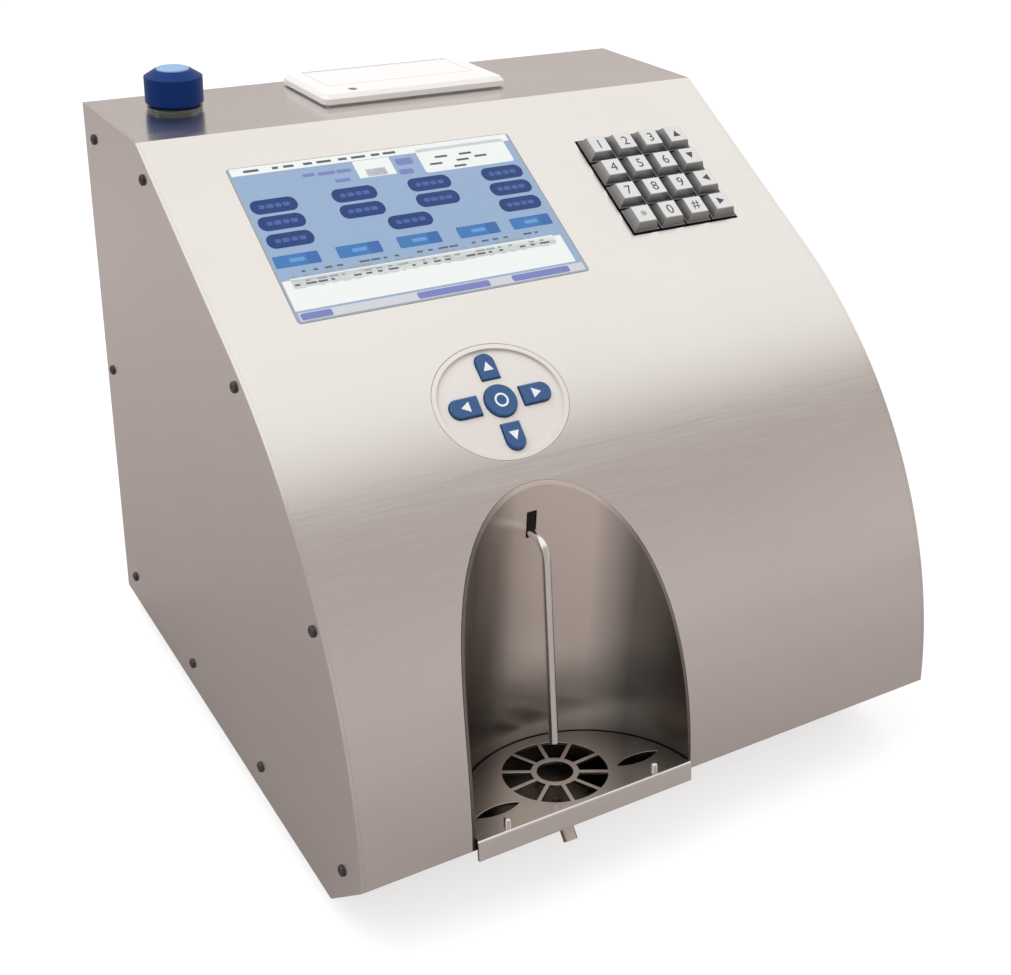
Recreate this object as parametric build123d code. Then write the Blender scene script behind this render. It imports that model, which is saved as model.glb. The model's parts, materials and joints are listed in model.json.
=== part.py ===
from build123d import *
import math
import os

# A benchtop milk analyzer in a folded stainless housing. Millimetres. The model is built with x across
# the housing from its middle, y back from the front of its curve and z up from its underside, and is
# moved at the end so that the origin lies under the middle of the whole thing, on the table.

# Housing sheets
WIDTH = 290.0
DEPTH = 290.0
HEIGHT = 263.0
TOP_DEPTH = 76.5
FRONT_RADIUS = 230.0
ARC_Z = 6.2517529
CHAMFER_RISE = 27.5
CHAMFER_RUN = 29.5
COVER_SHEET = 1.2
SIDE_SHEET = 1.5
BASE_SHEET = 1.5
REAR_SHEET = 1.5
FLANGE = 20.0
SEAM = 0.2
OVERRUN = 5.0

# Feet
FOOT_HEIGHT = 10.0
FOOT_RADIUS = 10.0
FOOT_TAPER = 1.5
FOOT_STEM_RADIUS = 3.0
FOOT_STEM_GRIP = 3.0
FOOT_INSET_X = 34.0
FOOT_INSET_FRONT = 62.0
FOOT_INSET_REAR = 32.0

# Housing screws
SCREW_HEAD_RADIUS = 2.4
SCREW_HEAD_HEIGHT = 1.3
SCREW_SHANK_RADIUS = 1.5
SCREW_LENGTH = 6.0
HOLE_CLEARANCE = 0.1
SCREW_INSET = 14.0
ARC_SCREW_INSET = 7.5
REAR_SCREW_INSET = 9.0
BEND_SCREW_BACK = 7.0
CHAMFER_SCREW_INSET = 10.0
CHAMFER_SCREW_SHARE = 0.9
ARC_SCREW_SHARES = (0.96, 0.53)
BASE_SCREW_SHARES = (0.35, 0.645, 0.945)
REAR_SCREW_SHARE = 0.5

# Control panel on the slant
PANEL_MARGIN_SHARE = 0.357
PANEL_GAP_SHARE = 0.351
LENS_WIDTH = 138.5
LENS_HEIGHT = 85.0
LENS_THICKNESS = 2.0
LENS_DOWN = 21.5
LENS_CORNER = 1.5
MODULE_MARGIN = 3.0
MODULE_THICKNESS = 8.0
BRACKET_SHEET = 1.2
BRACKET_POST_RADIUS = 3.0
BRACKET_POST_SPAN = 70.0
BRACKET_EDGE = 8.0
BRACKET_WINDOW_SHARE = 0.6

# Keypad
KEY_COUNT = 4
KEY_PITCH = 14.8
KEY_FLANGE = 13.8
KEY_FLANGE_THICKNESS = 1.0
KEY_LIFT = 0.3
KEY_BASE = 12.6
KEY_TOP = 9.2
KEY_HEIGHT = 5.0
KEY_STEM = 6.0
KEY_STEM_LENGTH = 6.0
KEY_TRAVEL = 1.5
KEY_GUIDE_CLEARANCE = 0.2
KEYPAD_DOWN = 62.1
KEYPAD_BORDER = 0.4
KEYPAD_GUIDE = 2.0
KEYPAD_RIM = 4.0
KEYPAD_RIM_THICKNESS = 1.5
KEYPAD_DEPTH = 12.0
KEYPAD_WALL = 2.0

# Oval pad on the curve
NAV_GAP = 9.8977498
NAV_HALF_WIDTH = 30.8
NAV_HALF_HEIGHT = 26.0
NAV_RIM = 2.4
NAV_DISH = 1.3
NAV_THICKNESS = 3.0
NAV_LEDGE = 4.0
NAV_SEAT_GAP = 0.1
NAV_CENTRE_RADIUS = 7.1
NAV_ARROW_INNER = 10.0
NAV_ARROW_WIDTH = 8.5
NAV_ARROW_LENGTHS = (13.5, 11.6)
NAV_PROUD = 1.3
NAV_TRAVEL = 0.8
NAV_HOLE_CLEARANCE = 0.3
NAV_BUTTON_LEDGE = 1.0
NAV_LEDGE_THICKNESS = 1.0
NAV_CROWN = 0.4
NAV_BOARD_GAP = 1.2
NAV_BOARD_THICKNESS = 1.6
NAV_POST_RADIUS = 2.2
NAV_POST_SHARE = 0.92

# Niche with its drip tray
NICHE_RADIUS = 52.0
NICHE_FRONT = 0.5
LINER_SHEET = 1.2
SLOT_WIDTH = 4.8
SLOT_HEIGHT = 12.0
SLOT_Z = 135.2
FLOOR_TILT = 8.0
FLOOR_FRONT = 1.0
FLOOR_Z = 32.6
GRID_SHEET = 1.2
GRID_CLEARANCE = 0.5
GRID_SEAT_GAP = 0.3
LIP_LENGTH = 104.0
LIP_HEIGHT = 9.0
LIP_REACH = 1.8
LIP_FOLD = 0.9
RING_BACK = 23.6
RING_RADIUS = 22.4
HUB_RADIUS = 10.2
HUB_HOLE_RADIUS = 7.7
SPOKE_COUNT = 10
SPOKE_WIDTH = 1.8
SPOKE_TURN = 4.0
LEAF_LENGTH = 21.0
LEAF_WIDTH = 6.0
LEAF_OUT = 34.6
LEAF_BACK = 12.8
STUD_RADIUS = 1.5
STUD_HEIGHT = 2.8
STUD_SHANK_RADIUS = 1.1
STUD_BEVEL_SHARE = 0.4
STUD_OUT = 36.0
STUD_BACK = 2.8
PAN_CLEARANCE = 0.6
PAN_SHEET = 1.0
PAN_BOTTOM = 14.0
DRAIN_RADIUS = 3.1
DRAIN_ROOT_RADIUS = 3.6
DRAIN_BORE = 2.1
DRAIN_LENGTH = 11.4
DRAIN_SHARE = 0.42

# Sample tube and its grommet
TUBE_RADIUS = 2.0
TUBE_BORE = 1.4
TUBE_Z = 131.5
TUBE_BEND = 8.0
TUBE_END_BACK = 26.1
TUBE_END_Z = 43.2
TUBE_LEAN = 9.5
TUBE_PLUG = 6.0
TUBE_FIT = 0.05
GROMMET_WIDTH = 16.0
GROMMET_HEIGHT = 24.0
GROMMET_THICKNESS = 3.0
GROMMET_RECESS = 0.4

# Printer on the top
PRINTER_X = 0.5
PRINTER_WIDTH = 97.0
PRINTER_SETBACK = 20.5
PRINTER_PLINTH = 0.8
PRINTER_SLAB = 4.6
PRINTER_PLINTH_INSET = 2.0
PRINTER_BEVEL = 2.0
PRINTER_CORNER = 3.0
PRINTER_STRIP = 17.6
BAY_WALL = 1.4
BAY_SETBACK = 8.9
ROLL_RADIUS = 12.5
ROLL_WIDTH = 57.5
ROLL_CORE_RADIUS = 5.0
ROLL_CLEARANCE = 0.4
ROLL_HEADROOM = 0.8
ROLL_END_GAP = 0.5
PLATEN_RADIUS = 2.8
PLATEN_SHAFT_RADIUS = 1.5
PLATEN_DROP = 3.0
PLATEN_POCKET = 0.5
PAPER_GAP = 1.0
SHAFT_FIT = 0.06
SHAFT_SEAT = 2.0
LID_WIDTH = 78.0
LID_THICKNESS = 2.2
LID_GAP = 0.3
LID_PIN_RADIUS = 1.2
LID_PIN_BACK = 4.6
PRINTER_LAMP_RADIUS = 2.3
PRINTER_LAMP_OUT = 30.7
PRINTER_LAMP_BACK = 7.7
PRINTER_LAMP_DEPTH = 0.6

# Filling port with its screw cap
PORT_SIDE = 34.7
PORT_REAR = 28.0
BOTTLE_RADIUS = 11.0
BOTTLE_DEPTH = 52.0
BOTTLE_WALL = 1.5
COLLAR_RADIUS = 12.6
COLLAR_THICKNESS = 1.5
NECK_RADIUS = 9.5
NECK_BORE = 7.5
NECK_HEIGHT = 12.0
CAP_RADIUS = 13.2
CAP_HEIGHT = 16.0
CAP_TOP_RADIUS = 8.4
CAP_TOP_CONE = 3.0
CAP_BOTTOM_RADIUS = 11.0
CAP_BOTTOM_CONE = 1.6
CAP_FIT = 0.08
CAP_GAP = 0.3
LINER_THICKNESS = 1.2

# Rear connections
INLET_X = 96.0
INLET_Z = 44.0
INLET_WIDTH = 58.0
INLET_HEIGHT = 30.0
INLET_PLATE = 3.0
INLET_BODY_INSET = 3.0
INLET_DEPTH = 24.0
INLET_CORNER = 3.0
SOCKET_WIDTH = 24.4
SOCKET_HEIGHT = 16.6
SOCKET_DEPTH = 15.0
SOCKET_OUT = 12.5
SOCKET_CORNER = 4.0
BLADE_WIDTH = 2.0
BLADE_HEIGHT = 4.0
BLADE_LENGTH = 12.0
BLADE_OUT = 7.0
BLADE_DOWN = 3.0
EARTH_UP = 1.0
ROCKER_OUT = 18.0
ROCKER_WIDTH = 12.0
ROCKER_HEIGHT = 17.2
ROCKER_PROUD = 2.6
ROCKER_NOTCH = 2.2
ROCKER_TILT = 7.0
ROCKER_GAP = 0.9
ROCKER_BACK = 5.0
ROCKER_BACK_SHARE = 0.7
ROCKER_PIN_RADIUS = 1.4
ROCKER_PIN_LENGTH = 1.5
ROCKER_PIN_DEEP = 4.0
DSUB_COUNT = 2
DSUB_X = 20.0
DSUB_PITCH = 42.0
DSUB_PLATE_WIDTH = 30.8
DSUB_PLATE_HEIGHT = 12.5
DSUB_PLATE = 1.0
DSUB_SHELL_WIDTH = 16.9
DSUB_SHELL_HEIGHT = 8.3
DSUB_SHELL_LENGTH = 5.5
DSUB_SHELL_SLOPE = 1.5
DSUB_BODY_DEPTH = 9.0
DSUB_POST_RADIUS = 2.3
DSUB_POST_OUT = 12.5
DSUB_POST_LENGTH = 4.5
BARB_TIP_RADIUS = 1.9
BARB_RADIUS = 2.6
BARB_ROOT_RADIUS = 2.0
BARB_BORE = 0.9
BARB_RIDGES = 3
BARB_RIDGE_LENGTH = 4.8
BARB_COLLAR_RADIUS = 6.0
BARB_COLLAR_LENGTH = 3.0
BARB_NUT_RADIUS = 6.5
BARB_NUT_LENGTH = 4.0
BARB_STUB_LENGTH = 8.0
STUB_RADIUS = 1.55
VENT_COUNT = 9
VENT_WIDTH = 3.0
VENT_LENGTH = 42.0
VENT_PITCH = 7.0
VENT_X_SHARES = (-0.28, 0.28)
VENT_Z_SHARE = 0.72
HOSE_RADIUS = 2.5
HOSE_BORE = 1.6
HOSE_END = 9.0

# Frame, cell, pump and boards inside
SHELF_Z = 96.0
SHELF_SHEET = 1.5
SHELF_BACK_GAP = 6.5
SHELF_DEPTH = 65.0
SHELF_LEFT = 42.0
SHELF_RIGHT = 123.0
SHELF_FOOT = 12.0
CELL_WIDTH = 60.0
CELL_DEPTH = 40.0
CELL_HEIGHT = 48.0
CELL_SETBACK = 6.0
CELL_GROOVE = 3.0
CELL_TRANSDUCER_RADIUS = 9.0
CELL_TRANSDUCER_LENGTH = 6.0
CELL_STUB_LENGTH = 8.0
CELL_OUTLET_RISE = 14.5
CELL_RINSE_RISE = 22.0
CELL_RINSE_OUT = 20.0
PUMP_OUT = 88.5
PUMP_RADIUS = 23.0
PUMP_CUP_RADIUS = 19.6
PUMP_LENGTH = 22.0
PUMP_BACK_WALL = 4.0
PUMP_RISE = 30.0
PUMP_FOOT_WIDTH = 24.0
HOSE_LOOP_RADIUS = 16.5
HOSE_CORNER = 10.0
HOSE_DROP = 23.0
HOSE_LOOP_SHARE = 0.99
HOSE_NOTCH_GAP = 0.9
ROLLER_RADIUS = 3.4
ROLLER_ORBIT = 10.2
ROLLER_COUNT = 3
ROTOR_DISC_RADIUS = 13.2
ROTOR_DISC = 1.5
ROTOR_HUB_RADIUS = 5.0
ROTOR_LENGTH = 14.0
ROTOR_SETBACK = 2.0
ROTOR_SHAFT_RADIUS = 2.5
ROTOR_SHAFT_LENGTH = 18.0
MOTOR_RADIUS = 16.0
MOTOR_LENGTH = 44.0
MOTOR_CAP_RADIUS = 6.0
MOTOR_CAP_LENGTH = 4.0
BOARD_WIDTH = 140.0
BOARD_DEPTH = 96.0
BOARD_THICKNESS = 1.6
BOARD_LIFT = 8.0
BOARD_SIDE_GAP = 14.0
BOARD_REAR_GAP = 34.0
BOARD_POST_RADIUS = 3.0
BOARD_POST_INSET = 6.0
BOARD_TALLEST = 14.0
BOARD_PART_SHARES = ((0.28, 0.30, 0.20, 0.28, 0.30), (0.68, 0.30, 0.26, 0.20, 0.65),
                     (0.28, 0.72, 0.32, 0.13, 1.0), (0.72, 0.70, 0.15, 0.22, 0.85))
SUPPLY_WIDTH = 96.0
SUPPLY_DEPTH = 60.0
SUPPLY_HEIGHT = 34.0
SUPPLY_SIDE_GAP = 18.0
SUPPLY_REAR_GAP = 52.0
SUPPLY_TAB = 8.0
SUPPLY_EDGE = 2.0

# Places worked out from the sizes above
INNER_HALF = WIDTH / 2 - SIDE_SHEET
BEND_Y = DEPTH - TOP_DEPTH
BEND_RUN = BEND_Y - FRONT_RADIUS
BEND_RISE = HEIGHT - ARC_Z
SLANT = math.acos(FRONT_RADIUS / math.hypot(BEND_RUN, BEND_RISE)) - math.atan2(BEND_RUN, BEND_RISE)
KEYPAD_WELL = KEY_LIFT + KEY_TRAVEL + SEAM
TANGENT_ANGLE = 90 - math.degrees(SLANT)
KEYPAD_WIDTH = KEY_COUNT * KEY_PITCH + 2 * KEYPAD_BORDER
SPARE_WIDTH = WIDTH - LENS_WIDTH - KEYPAD_WIDTH
STATION_X = -WIDTH / 2 + SPARE_WIDTH * PANEL_MARGIN_SHARE + LENS_WIDTH / 2
KEYPAD_X = STATION_X + LENS_WIDTH / 2 + SPARE_WIDTH * PANEL_GAP_SHARE + KEYPAD_WIDTH / 2
LENS_S = LENS_DOWN + LENS_HEIGHT / 2
LINER_RADIUS = NICHE_RADIUS + LINER_SHEET
TILT = math.radians(FLOOR_TILT)
BARB_LENGTH = BARB_COLLAR_LENGTH + BARB_RIDGES * BARB_RIDGE_LENGTH
LIP_FRONT = FLOOR_FRONT - LIP_REACH * math.cos(TILT) - LIP_HEIGHT * math.sin(TILT)
PLACE = Pos(0, -(DEPTH + BARB_LENGTH + LIP_FRONT) / 2, FOOT_HEIGHT)
STAND = (Align.CENTER, Align.CENTER, Align.MIN)
HANG = (Align.CENTER, Align.CENTER, Align.MAX)

SLANT_PLANE = Plane(origin=(0, BEND_Y, HEIGHT), x_dir=(1, 0, 0), z_dir=(0, -math.sin(SLANT), math.cos(SLANT)))
FLOOR_PLANE = Plane(origin=(STATION_X, FLOOR_FRONT, FLOOR_Z), x_dir=(1, 0, 0),
                    z_dir=(0, math.sin(TILT), math.cos(TILT)))


def arc_point(angle, inset=0.0):
    """Point of the front curve at an angle above its centre, drawn in by inset"""
    radius = FRONT_RADIUS - inset
    turn = math.radians(angle)
    return (FRONT_RADIUS - radius * math.cos(turn), ARC_Z + radius * math.sin(turn))


def low_angle(inset=0.0):
    """Angle at which the front curve ends, at the top of the chamfer"""
    return math.degrees(math.asin((CHAMFER_RISE - ARC_Z) / (FRONT_RADIUS - inset)))


NICHE_TOP_ANGLE = math.degrees(math.acos(1 - (NICHE_FRONT + LINER_RADIUS) / FRONT_RADIUS))
NAV_ANGLE = NICHE_TOP_ANGLE + math.degrees((NAV_HALF_HEIGHT + NAV_GAP) / FRONT_RADIUS)
NAV_Y, NAV_Z = arc_point(NAV_ANGLE)
NAV_TURN = math.radians(NAV_ANGLE)
NAV_PLANE = Plane(origin=(STATION_X, NAV_Y, NAV_Z), x_dir=(1, 0, 0),
                  z_dir=(0, -math.cos(NAV_TURN), math.sin(NAV_TURN)))
CHAMFER_TOP = arc_point(low_angle())
CHAMFER_SPAN = CHAMFER_RUN - CHAMFER_TOP[0]
CHAMFER_SLOPE = math.hypot(CHAMFER_SPAN, CHAMFER_RISE)


def skin_points(inset):
    """Top, slant and curve of the housing from the back to the chamfer, drawn in by inset"""
    top = HEIGHT - inset
    tangent = arc_point(TANGENT_ANGLE, inset)
    bend = (tangent[0] + (top - tangent[1]) / math.tan(SLANT), top)
    low = low_angle(inset)
    return [(DEPTH, top), bend, tangent, arc_point((TANGENT_ANGLE + low) / 2, inset), arc_point(low, inset)]


def skin_band(outer, inner):
    """Side view of the sheet between two insets of the housing's skin"""
    a, b = skin_points(outer), skin_points(inner)
    return make_face([Line(a[0], a[1]), Line(a[1], a[2]), ThreePointArc(a[2], a[3], a[4]), Line(a[4], b[4]),
                      ThreePointArc(b[4], b[3], b[2]), Line(b[2], b[1]), Line(b[1], b[0]), Line(b[0], a[0])])


def side_face():
    """Whole side view of the housing"""
    p = skin_points(0)
    return make_face([Line(p[0], p[1]), Line(p[1], p[2]), ThreePointArc(p[2], p[3], p[4]),
                      Line(p[4], (CHAMFER_RUN, 0)), Line((CHAMFER_RUN, 0), (DEPTH, 0)),
                      Line((DEPTH, 0), p[0])])


def across(face, low, high):
    """Solid of a side view between two places across the housing"""
    return Pos(low, 0, 0) * extrude(Plane.YZ * face, amount=high - low, dir=(1, 0, 0))


def block(xs, ys, zs):
    """Box between a low and a high place on each axis"""
    spans = (xs, ys, zs)
    return Pos(*(sum(span) / 2 for span in spans)) * Box(*(span[1] - span[0] for span in spans))


def rod(point, direction, radius, length):
    """Round bar from a point along a direction"""
    return Plane(origin=point, z_dir=direction) * Cylinder(radius, length, align=STAND)


def on_slant(x, down, height=0.0):
    """Place on the slanted panel: across, down the slope and out from the sheet"""
    return SLANT_PLANE.location * Pos(x, -down, height)


def on_floor(x, back, height=0.0):
    """Place on the niche's tilted floor"""
    return FLOOR_PLANE.location * Pos(x, back, height)


def on_nav(x, up, height=0.0):
    """Place on the oval pad's tangent plane"""
    return NAV_PLANE.location * Pos(x, up, height)


def chamfer_y(z, inset=0.0):
    """How far back the chamfered front edge lies at a height, drawn in by inset"""
    set_back = CHAMFER_TOP[0] + inset * CHAMFER_SLOPE / CHAMFER_RISE
    return set_back + CHAMFER_SPAN * (CHAMFER_RISE - z) / CHAMFER_RISE


def floor_z(y, drop=0.0):
    """Height of the niche's floor at a distance from the front, less a drop square to it"""
    return FLOOR_Z - (y - FLOOR_FRONT) * math.tan(TILT) - drop / math.cos(TILT)


def screw_places():
    """Side screws as pairs of y and z"""
    places = [(DEPTH - SCREW_INSET, HEIGHT - SCREW_INSET), (BEND_Y - BEND_SCREW_BACK, HEIGHT - SCREW_INSET)]
    places += [arc_point(TANGENT_ANGLE * share, ARC_SCREW_INSET) for share in ARC_SCREW_SHARES]
    chamfer_z = CHAMFER_RISE * CHAMFER_SCREW_SHARE
    places.append((chamfer_y(chamfer_z, CHAMFER_SCREW_INSET), chamfer_z))
    places += [(DEPTH * share, SCREW_INSET) for share in BASE_SCREW_SHARES]
    places.append((DEPTH - REAR_SCREW_INSET, HEIGHT * REAR_SCREW_SHARE))
    return places


def screw_holes():
    """Clearance for every side screw, right through the housing"""
    radius = SCREW_SHANK_RADIUS + HOLE_CLEARANCE
    start = -WIDTH / 2 - OVERRUN
    return [rod((start, y, z), (1, 0, 0), radius, WIDTH + 2 * OVERRUN) for y, z in screw_places()]


def feet_places():
    """Feet as pairs of x and y"""
    out = WIDTH / 2 - FOOT_INSET_X
    return [(side * out, y) for side in (-1, 1) for y in (FOOT_INSET_FRONT, DEPTH - FOOT_INSET_REAR)]


def nav_prism(grow, low, high):
    """Oval column on the curve, its half axes changed by grow"""
    oval = Ellipse(NAV_HALF_WIDTH + grow, NAV_HALF_HEIGHT + grow)
    return on_nav(0, 0, low) * extrude(oval, amount=high - low)


def curve_bar(inset):
    """Round bar across the pad whose skin is the front curve drawn in by inset"""
    length = 2 * (NAV_HALF_WIDTH + NAV_LEDGE + OVERRUN)
    start = (STATION_X - length / 2, FRONT_RADIUS, ARC_Z)
    return rod(start, (1, 0, 0), FRONT_RADIUS - inset, length)


def printer_front():
    """Front edge of the printer's slab"""
    return BEND_Y + PRINTER_SETBACK


# Printer places that several pieces share
PRINTER_BASE = HEIGHT + PRINTER_PLINTH
PRINTER_TOP = PRINTER_BASE + PRINTER_SLAB
LID_FRONT = printer_front() + PRINTER_STRIP
LID_PIN_Z = PRINTER_TOP - LID_THICKNESS
ROLL_Z = PRINTER_TOP - LID_THICKNESS - ROLL_HEADROOM - ROLL_RADIUS
BAY_FRONT = printer_front() + BAY_SETBACK
PLATEN_Y = BAY_FRONT + BAY_WALL + PLATEN_POCKET + PLATEN_RADIUS
ROLL_Y = PLATEN_Y + PLATEN_RADIUS + PAPER_GAP + ROLL_RADIUS
LID_PIN_Y = ROLL_Y + ROLL_RADIUS + 2 * ROLL_CLEARANCE + LID_THICKNESS
PRINTER_REAR = LID_PIN_Y + LID_PIN_BACK
BAY_REAR = ROLL_Y + ROLL_RADIUS + ROLL_CLEARANCE + BAY_WALL
BAY_HALF = ROLL_WIDTH / 2 + ROLL_END_GAP + BAY_WALL
PLATEN_Z = HEIGHT - PLATEN_DROP
PORT_X = -WIDTH / 2 + PORT_SIDE
PORT_Y = DEPTH - PORT_REAR
CAP_Z = HEIGHT + COLLAR_THICKNESS + CAP_GAP
NECK_TOP = HEIGHT + COLLAR_THICKNESS + NECK_HEIGHT

# Places of the cell, the pump and their hoses
SHELF_FRONT = NICHE_FRONT + LINER_RADIUS + SHELF_BACK_GAP
SHELF_TOP = SHELF_Z + SHELF_SHEET
CELL_FRONT = SHELF_FRONT + CELL_SETBACK
PUMP_X = STATION_X + PUMP_OUT
PUMP_Z = SHELF_TOP + PUMP_RISE
HOSE_Y = CELL_FRONT + ROTOR_SETBACK + ROTOR_LENGTH / 2
NUT_FACE = DEPTH - REAR_SHEET - BARB_NUT_LENGTH
BARB_PLACES = ((PUMP_X + HOSE_LOOP_RADIUS, PUMP_Z - HOSE_DROP),
               (STATION_X + CELL_RINSE_OUT, SHELF_TOP + CELL_RINSE_RISE))
DSUB_PLACES = [DSUB_X + DSUB_PITCH * (place - (DSUB_COUNT - 1) / 2) for place in range(DSUB_COUNT)]


def front_cover():
    """Bent sheet of the top, the slanted panel and the curved front, with its side flanges and openings"""
    cover = across(skin_band(0, COVER_SHEET), -INNER_HALF, INNER_HALF)
    cover += across(skin_band(COVER_SHEET, FLANGE), -INNER_HALF, -INNER_HALF + COVER_SHEET)
    cover += across(skin_band(COVER_SHEET, FLANGE), INNER_HALF - COVER_SHEET, INNER_HALF)
    cover -= block((-WIDTH, WIDTH), (DEPTH - REAR_SHEET, DEPTH + OVERRUN), (0, HEIGHT - COVER_SHEET))
    cover -= Pos(STATION_X, NICHE_FRONT, 0) * Cylinder(LINER_RADIUS + SEAM, HEIGHT, align=STAND)
    window = Box(LENS_WIDTH + 2 * SEAM, LENS_HEIGHT + 2 * SEAM, FLANGE)
    cover -= on_slant(STATION_X, LENS_S) * fillet(window.edges().filter_by(Axis.Z), LENS_CORNER + SEAM)
    cover -= on_slant(KEYPAD_X, KEYPAD_DOWN) * Box(KEYPAD_WIDTH, KEYPAD_WIDTH, FLANGE)
    cover -= nav_prism(0, -FLANGE, FLANGE)
    bay = BAY_HALF + SEAM
    cover -= block((PRINTER_X - bay, PRINTER_X + bay), (BAY_FRONT - SEAM, BAY_REAR + SEAM),
                   (HEIGHT - OVERRUN, HEIGHT + OVERRUN))
    cover -= rod((PORT_X, PORT_Y, HEIGHT - OVERRUN), (0, 0, 1), BOTTLE_RADIUS + SEAM, 2 * OVERRUN)
    return cover - screw_holes()


def side_panel(side):
    """Flat side sheet with its screw holes"""
    low = -WIDTH / 2 if side < 0 else INNER_HALF
    return across(side_face(), low, low + SIDE_SHEET) - screw_holes()


def base_section():
    """Side view of the bottom sheet with its upturned front edge"""
    back = DEPTH - REAR_SHEET
    return make_face(Polyline((chamfer_y(CHAMFER_RISE), CHAMFER_RISE), (CHAMFER_RUN, 0), (back, 0),
                              (back, BASE_SHEET), (chamfer_y(BASE_SHEET, BASE_SHEET), BASE_SHEET),
                              (chamfer_y(CHAMFER_RISE, BASE_SHEET), CHAMFER_RISE), close=True))


def base_flange():
    """Side view of the base's side flange, along the bottom and the chamfer"""
    back = DEPTH - REAR_SHEET
    return make_face(Polyline((chamfer_y(CHAMFER_RISE, BASE_SHEET), CHAMFER_RISE),
                              (chamfer_y(BASE_SHEET, BASE_SHEET), BASE_SHEET), (back, BASE_SHEET),
                              (back, FLANGE), (chamfer_y(FLANGE, FLANGE), FLANGE),
                              (chamfer_y(CHAMFER_RISE, FLANGE), CHAMFER_RISE), close=True))


def drain_frame():
    """Start point on the chamfer's outer face and direction of the drain"""
    z = CHAMFER_RISE * DRAIN_SHARE
    return (STATION_X, chamfer_y(z), z), (0, -CHAMFER_RISE / CHAMFER_SLOPE, -CHAMFER_SPAN / CHAMFER_SLOPE)


def base_plate():
    """Bottom sheet with side flanges, holes for the feet and the drain, and a notch under the grid"""
    base = across(base_section(), -INNER_HALF, INNER_HALF)
    base += across(base_flange(), -INNER_HALF, -INNER_HALF + BASE_SHEET)
    base += across(base_flange(), INNER_HALF - BASE_SHEET, INNER_HALF)
    notch = LINER_RADIUS + SEAM
    notch_z = floor_z(chamfer_y(CHAMFER_RISE, BASE_SHEET), GRID_SHEET + GRID_SEAT_GAP)
    base -= block((STATION_X - notch, STATION_X + notch), (-OVERRUN, CHAMFER_RUN), (notch_z, HEIGHT))
    point, direction = drain_frame()
    start = tuple(p - d * OVERRUN for p, d in zip(point, direction))
    base -= rod(start, direction, DRAIN_ROOT_RADIUS + SEAM, 2 * OVERRUN)
    for x, y in feet_places():
        base -= rod((x, y, -OVERRUN), (0, 0, 1), FOOT_STEM_RADIUS + HOLE_CLEARANCE, 2 * OVERRUN)
    return base - screw_holes()


def rear_panel():
    """Back sheet with side flanges, vents and the holes for its connectors"""
    low, high = DEPTH - REAR_SHEET, DEPTH
    panel = block((-INNER_HALF, INNER_HALF), (low, high), (0, HEIGHT - COVER_SHEET))
    for side in (-1, 1):
        edges = sorted((side * INNER_HALF, side * (INNER_HALF - REAR_SHEET)))
        panel += block(edges, (DEPTH - FLANGE, low), (FLANGE + SEAM, HEIGHT - FLANGE - SEAM))
    through = (low - OVERRUN, high + OVERRUN)
    for share in VENT_X_SHARES:
        for slot in range(VENT_COUNT):
            x = share * WIDTH + (slot - (VENT_COUNT - 1) / 2) * VENT_PITCH
            z = VENT_Z_SHARE * HEIGHT
            panel -= block((x - VENT_WIDTH / 2, x + VENT_WIDTH / 2), through,
                           (z - VENT_LENGTH / 2, z + VENT_LENGTH / 2))
    half_x = INLET_WIDTH / 2 - INLET_BODY_INSET + SEAM
    half_z = INLET_HEIGHT / 2 - INLET_BODY_INSET + SEAM
    panel -= block((INLET_X - half_x, INLET_X + half_x), through, (INLET_Z - half_z, INLET_Z + half_z))
    for x in DSUB_PLACES:
        half_x, half_z = DSUB_SHELL_WIDTH / 2 + SEAM, DSUB_SHELL_HEIGHT / 2 + SEAM
        panel -= block((x - half_x, x + half_x), through, (INLET_Z - half_z, INLET_Z + half_z))
    for x, z in BARB_PLACES:
        panel -= rod((x, through[0], z), (0, 1, 0), HOSE_RADIUS + SEAM, through[1] - through[0])
    return panel - screw_holes()


def niche_liner():
    """Half round sheet behind the arch, trimmed to the front curve and standing on the base"""
    liner = Cylinder(LINER_RADIUS, HEIGHT, align=STAND) - Cylinder(NICHE_RADIUS, HEIGHT, align=STAND)
    liner = Pos(STATION_X, NICHE_FRONT, BASE_SHEET) * liner
    liner &= block((-WIDTH, WIDTH), (NICHE_FRONT, DEPTH), (0, HEIGHT))
    liner &= across(side_face(), -INNER_HALF, INNER_HALF)
    liner -= across(base_section(), -INNER_HALF, INNER_HALF)
    back = NICHE_FRONT + NICHE_RADIUS
    return liner - block((STATION_X - SLOT_WIDTH / 2, STATION_X + SLOT_WIDTH / 2),
                         (back - OVERRUN, back + OVERRUN),
                         (SLOT_Z - SLOT_HEIGHT / 2, SLOT_Z + SLOT_HEIGHT / 2))


def housing_screws():
    """Low headed screws of both sides"""
    screws = []
    for side in (-1, 1):
        face = side * WIDTH / 2
        for y, z in screw_places():
            head = rod((face, y, z), (side, 0, 0), SCREW_HEAD_RADIUS, SCREW_HEAD_HEIGHT)
            screws.append(head + rod((face, y, z), (-side, 0, 0), SCREW_SHANK_RADIUS, SCREW_LENGTH))
    return screws


def rubber_feet():
    """Tapered feet, each pushed into the base by its stem"""
    feet = []
    for x, y in feet_places():
        profile = Polyline((0, 0), (0, -FOOT_HEIGHT), (FOOT_RADIUS - FOOT_TAPER, -FOOT_HEIGHT),
                           (FOOT_RADIUS, 0), (FOOT_STEM_RADIUS, 0),
                           (FOOT_STEM_RADIUS, BASE_SHEET + FOOT_STEM_GRIP),
                           (0, BASE_SHEET + FOOT_STEM_GRIP), close=True)
        feet.append(Pos(x, y, 0) * revolve(Plane.XZ * make_face(profile), Axis.Z))
    return feet


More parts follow.
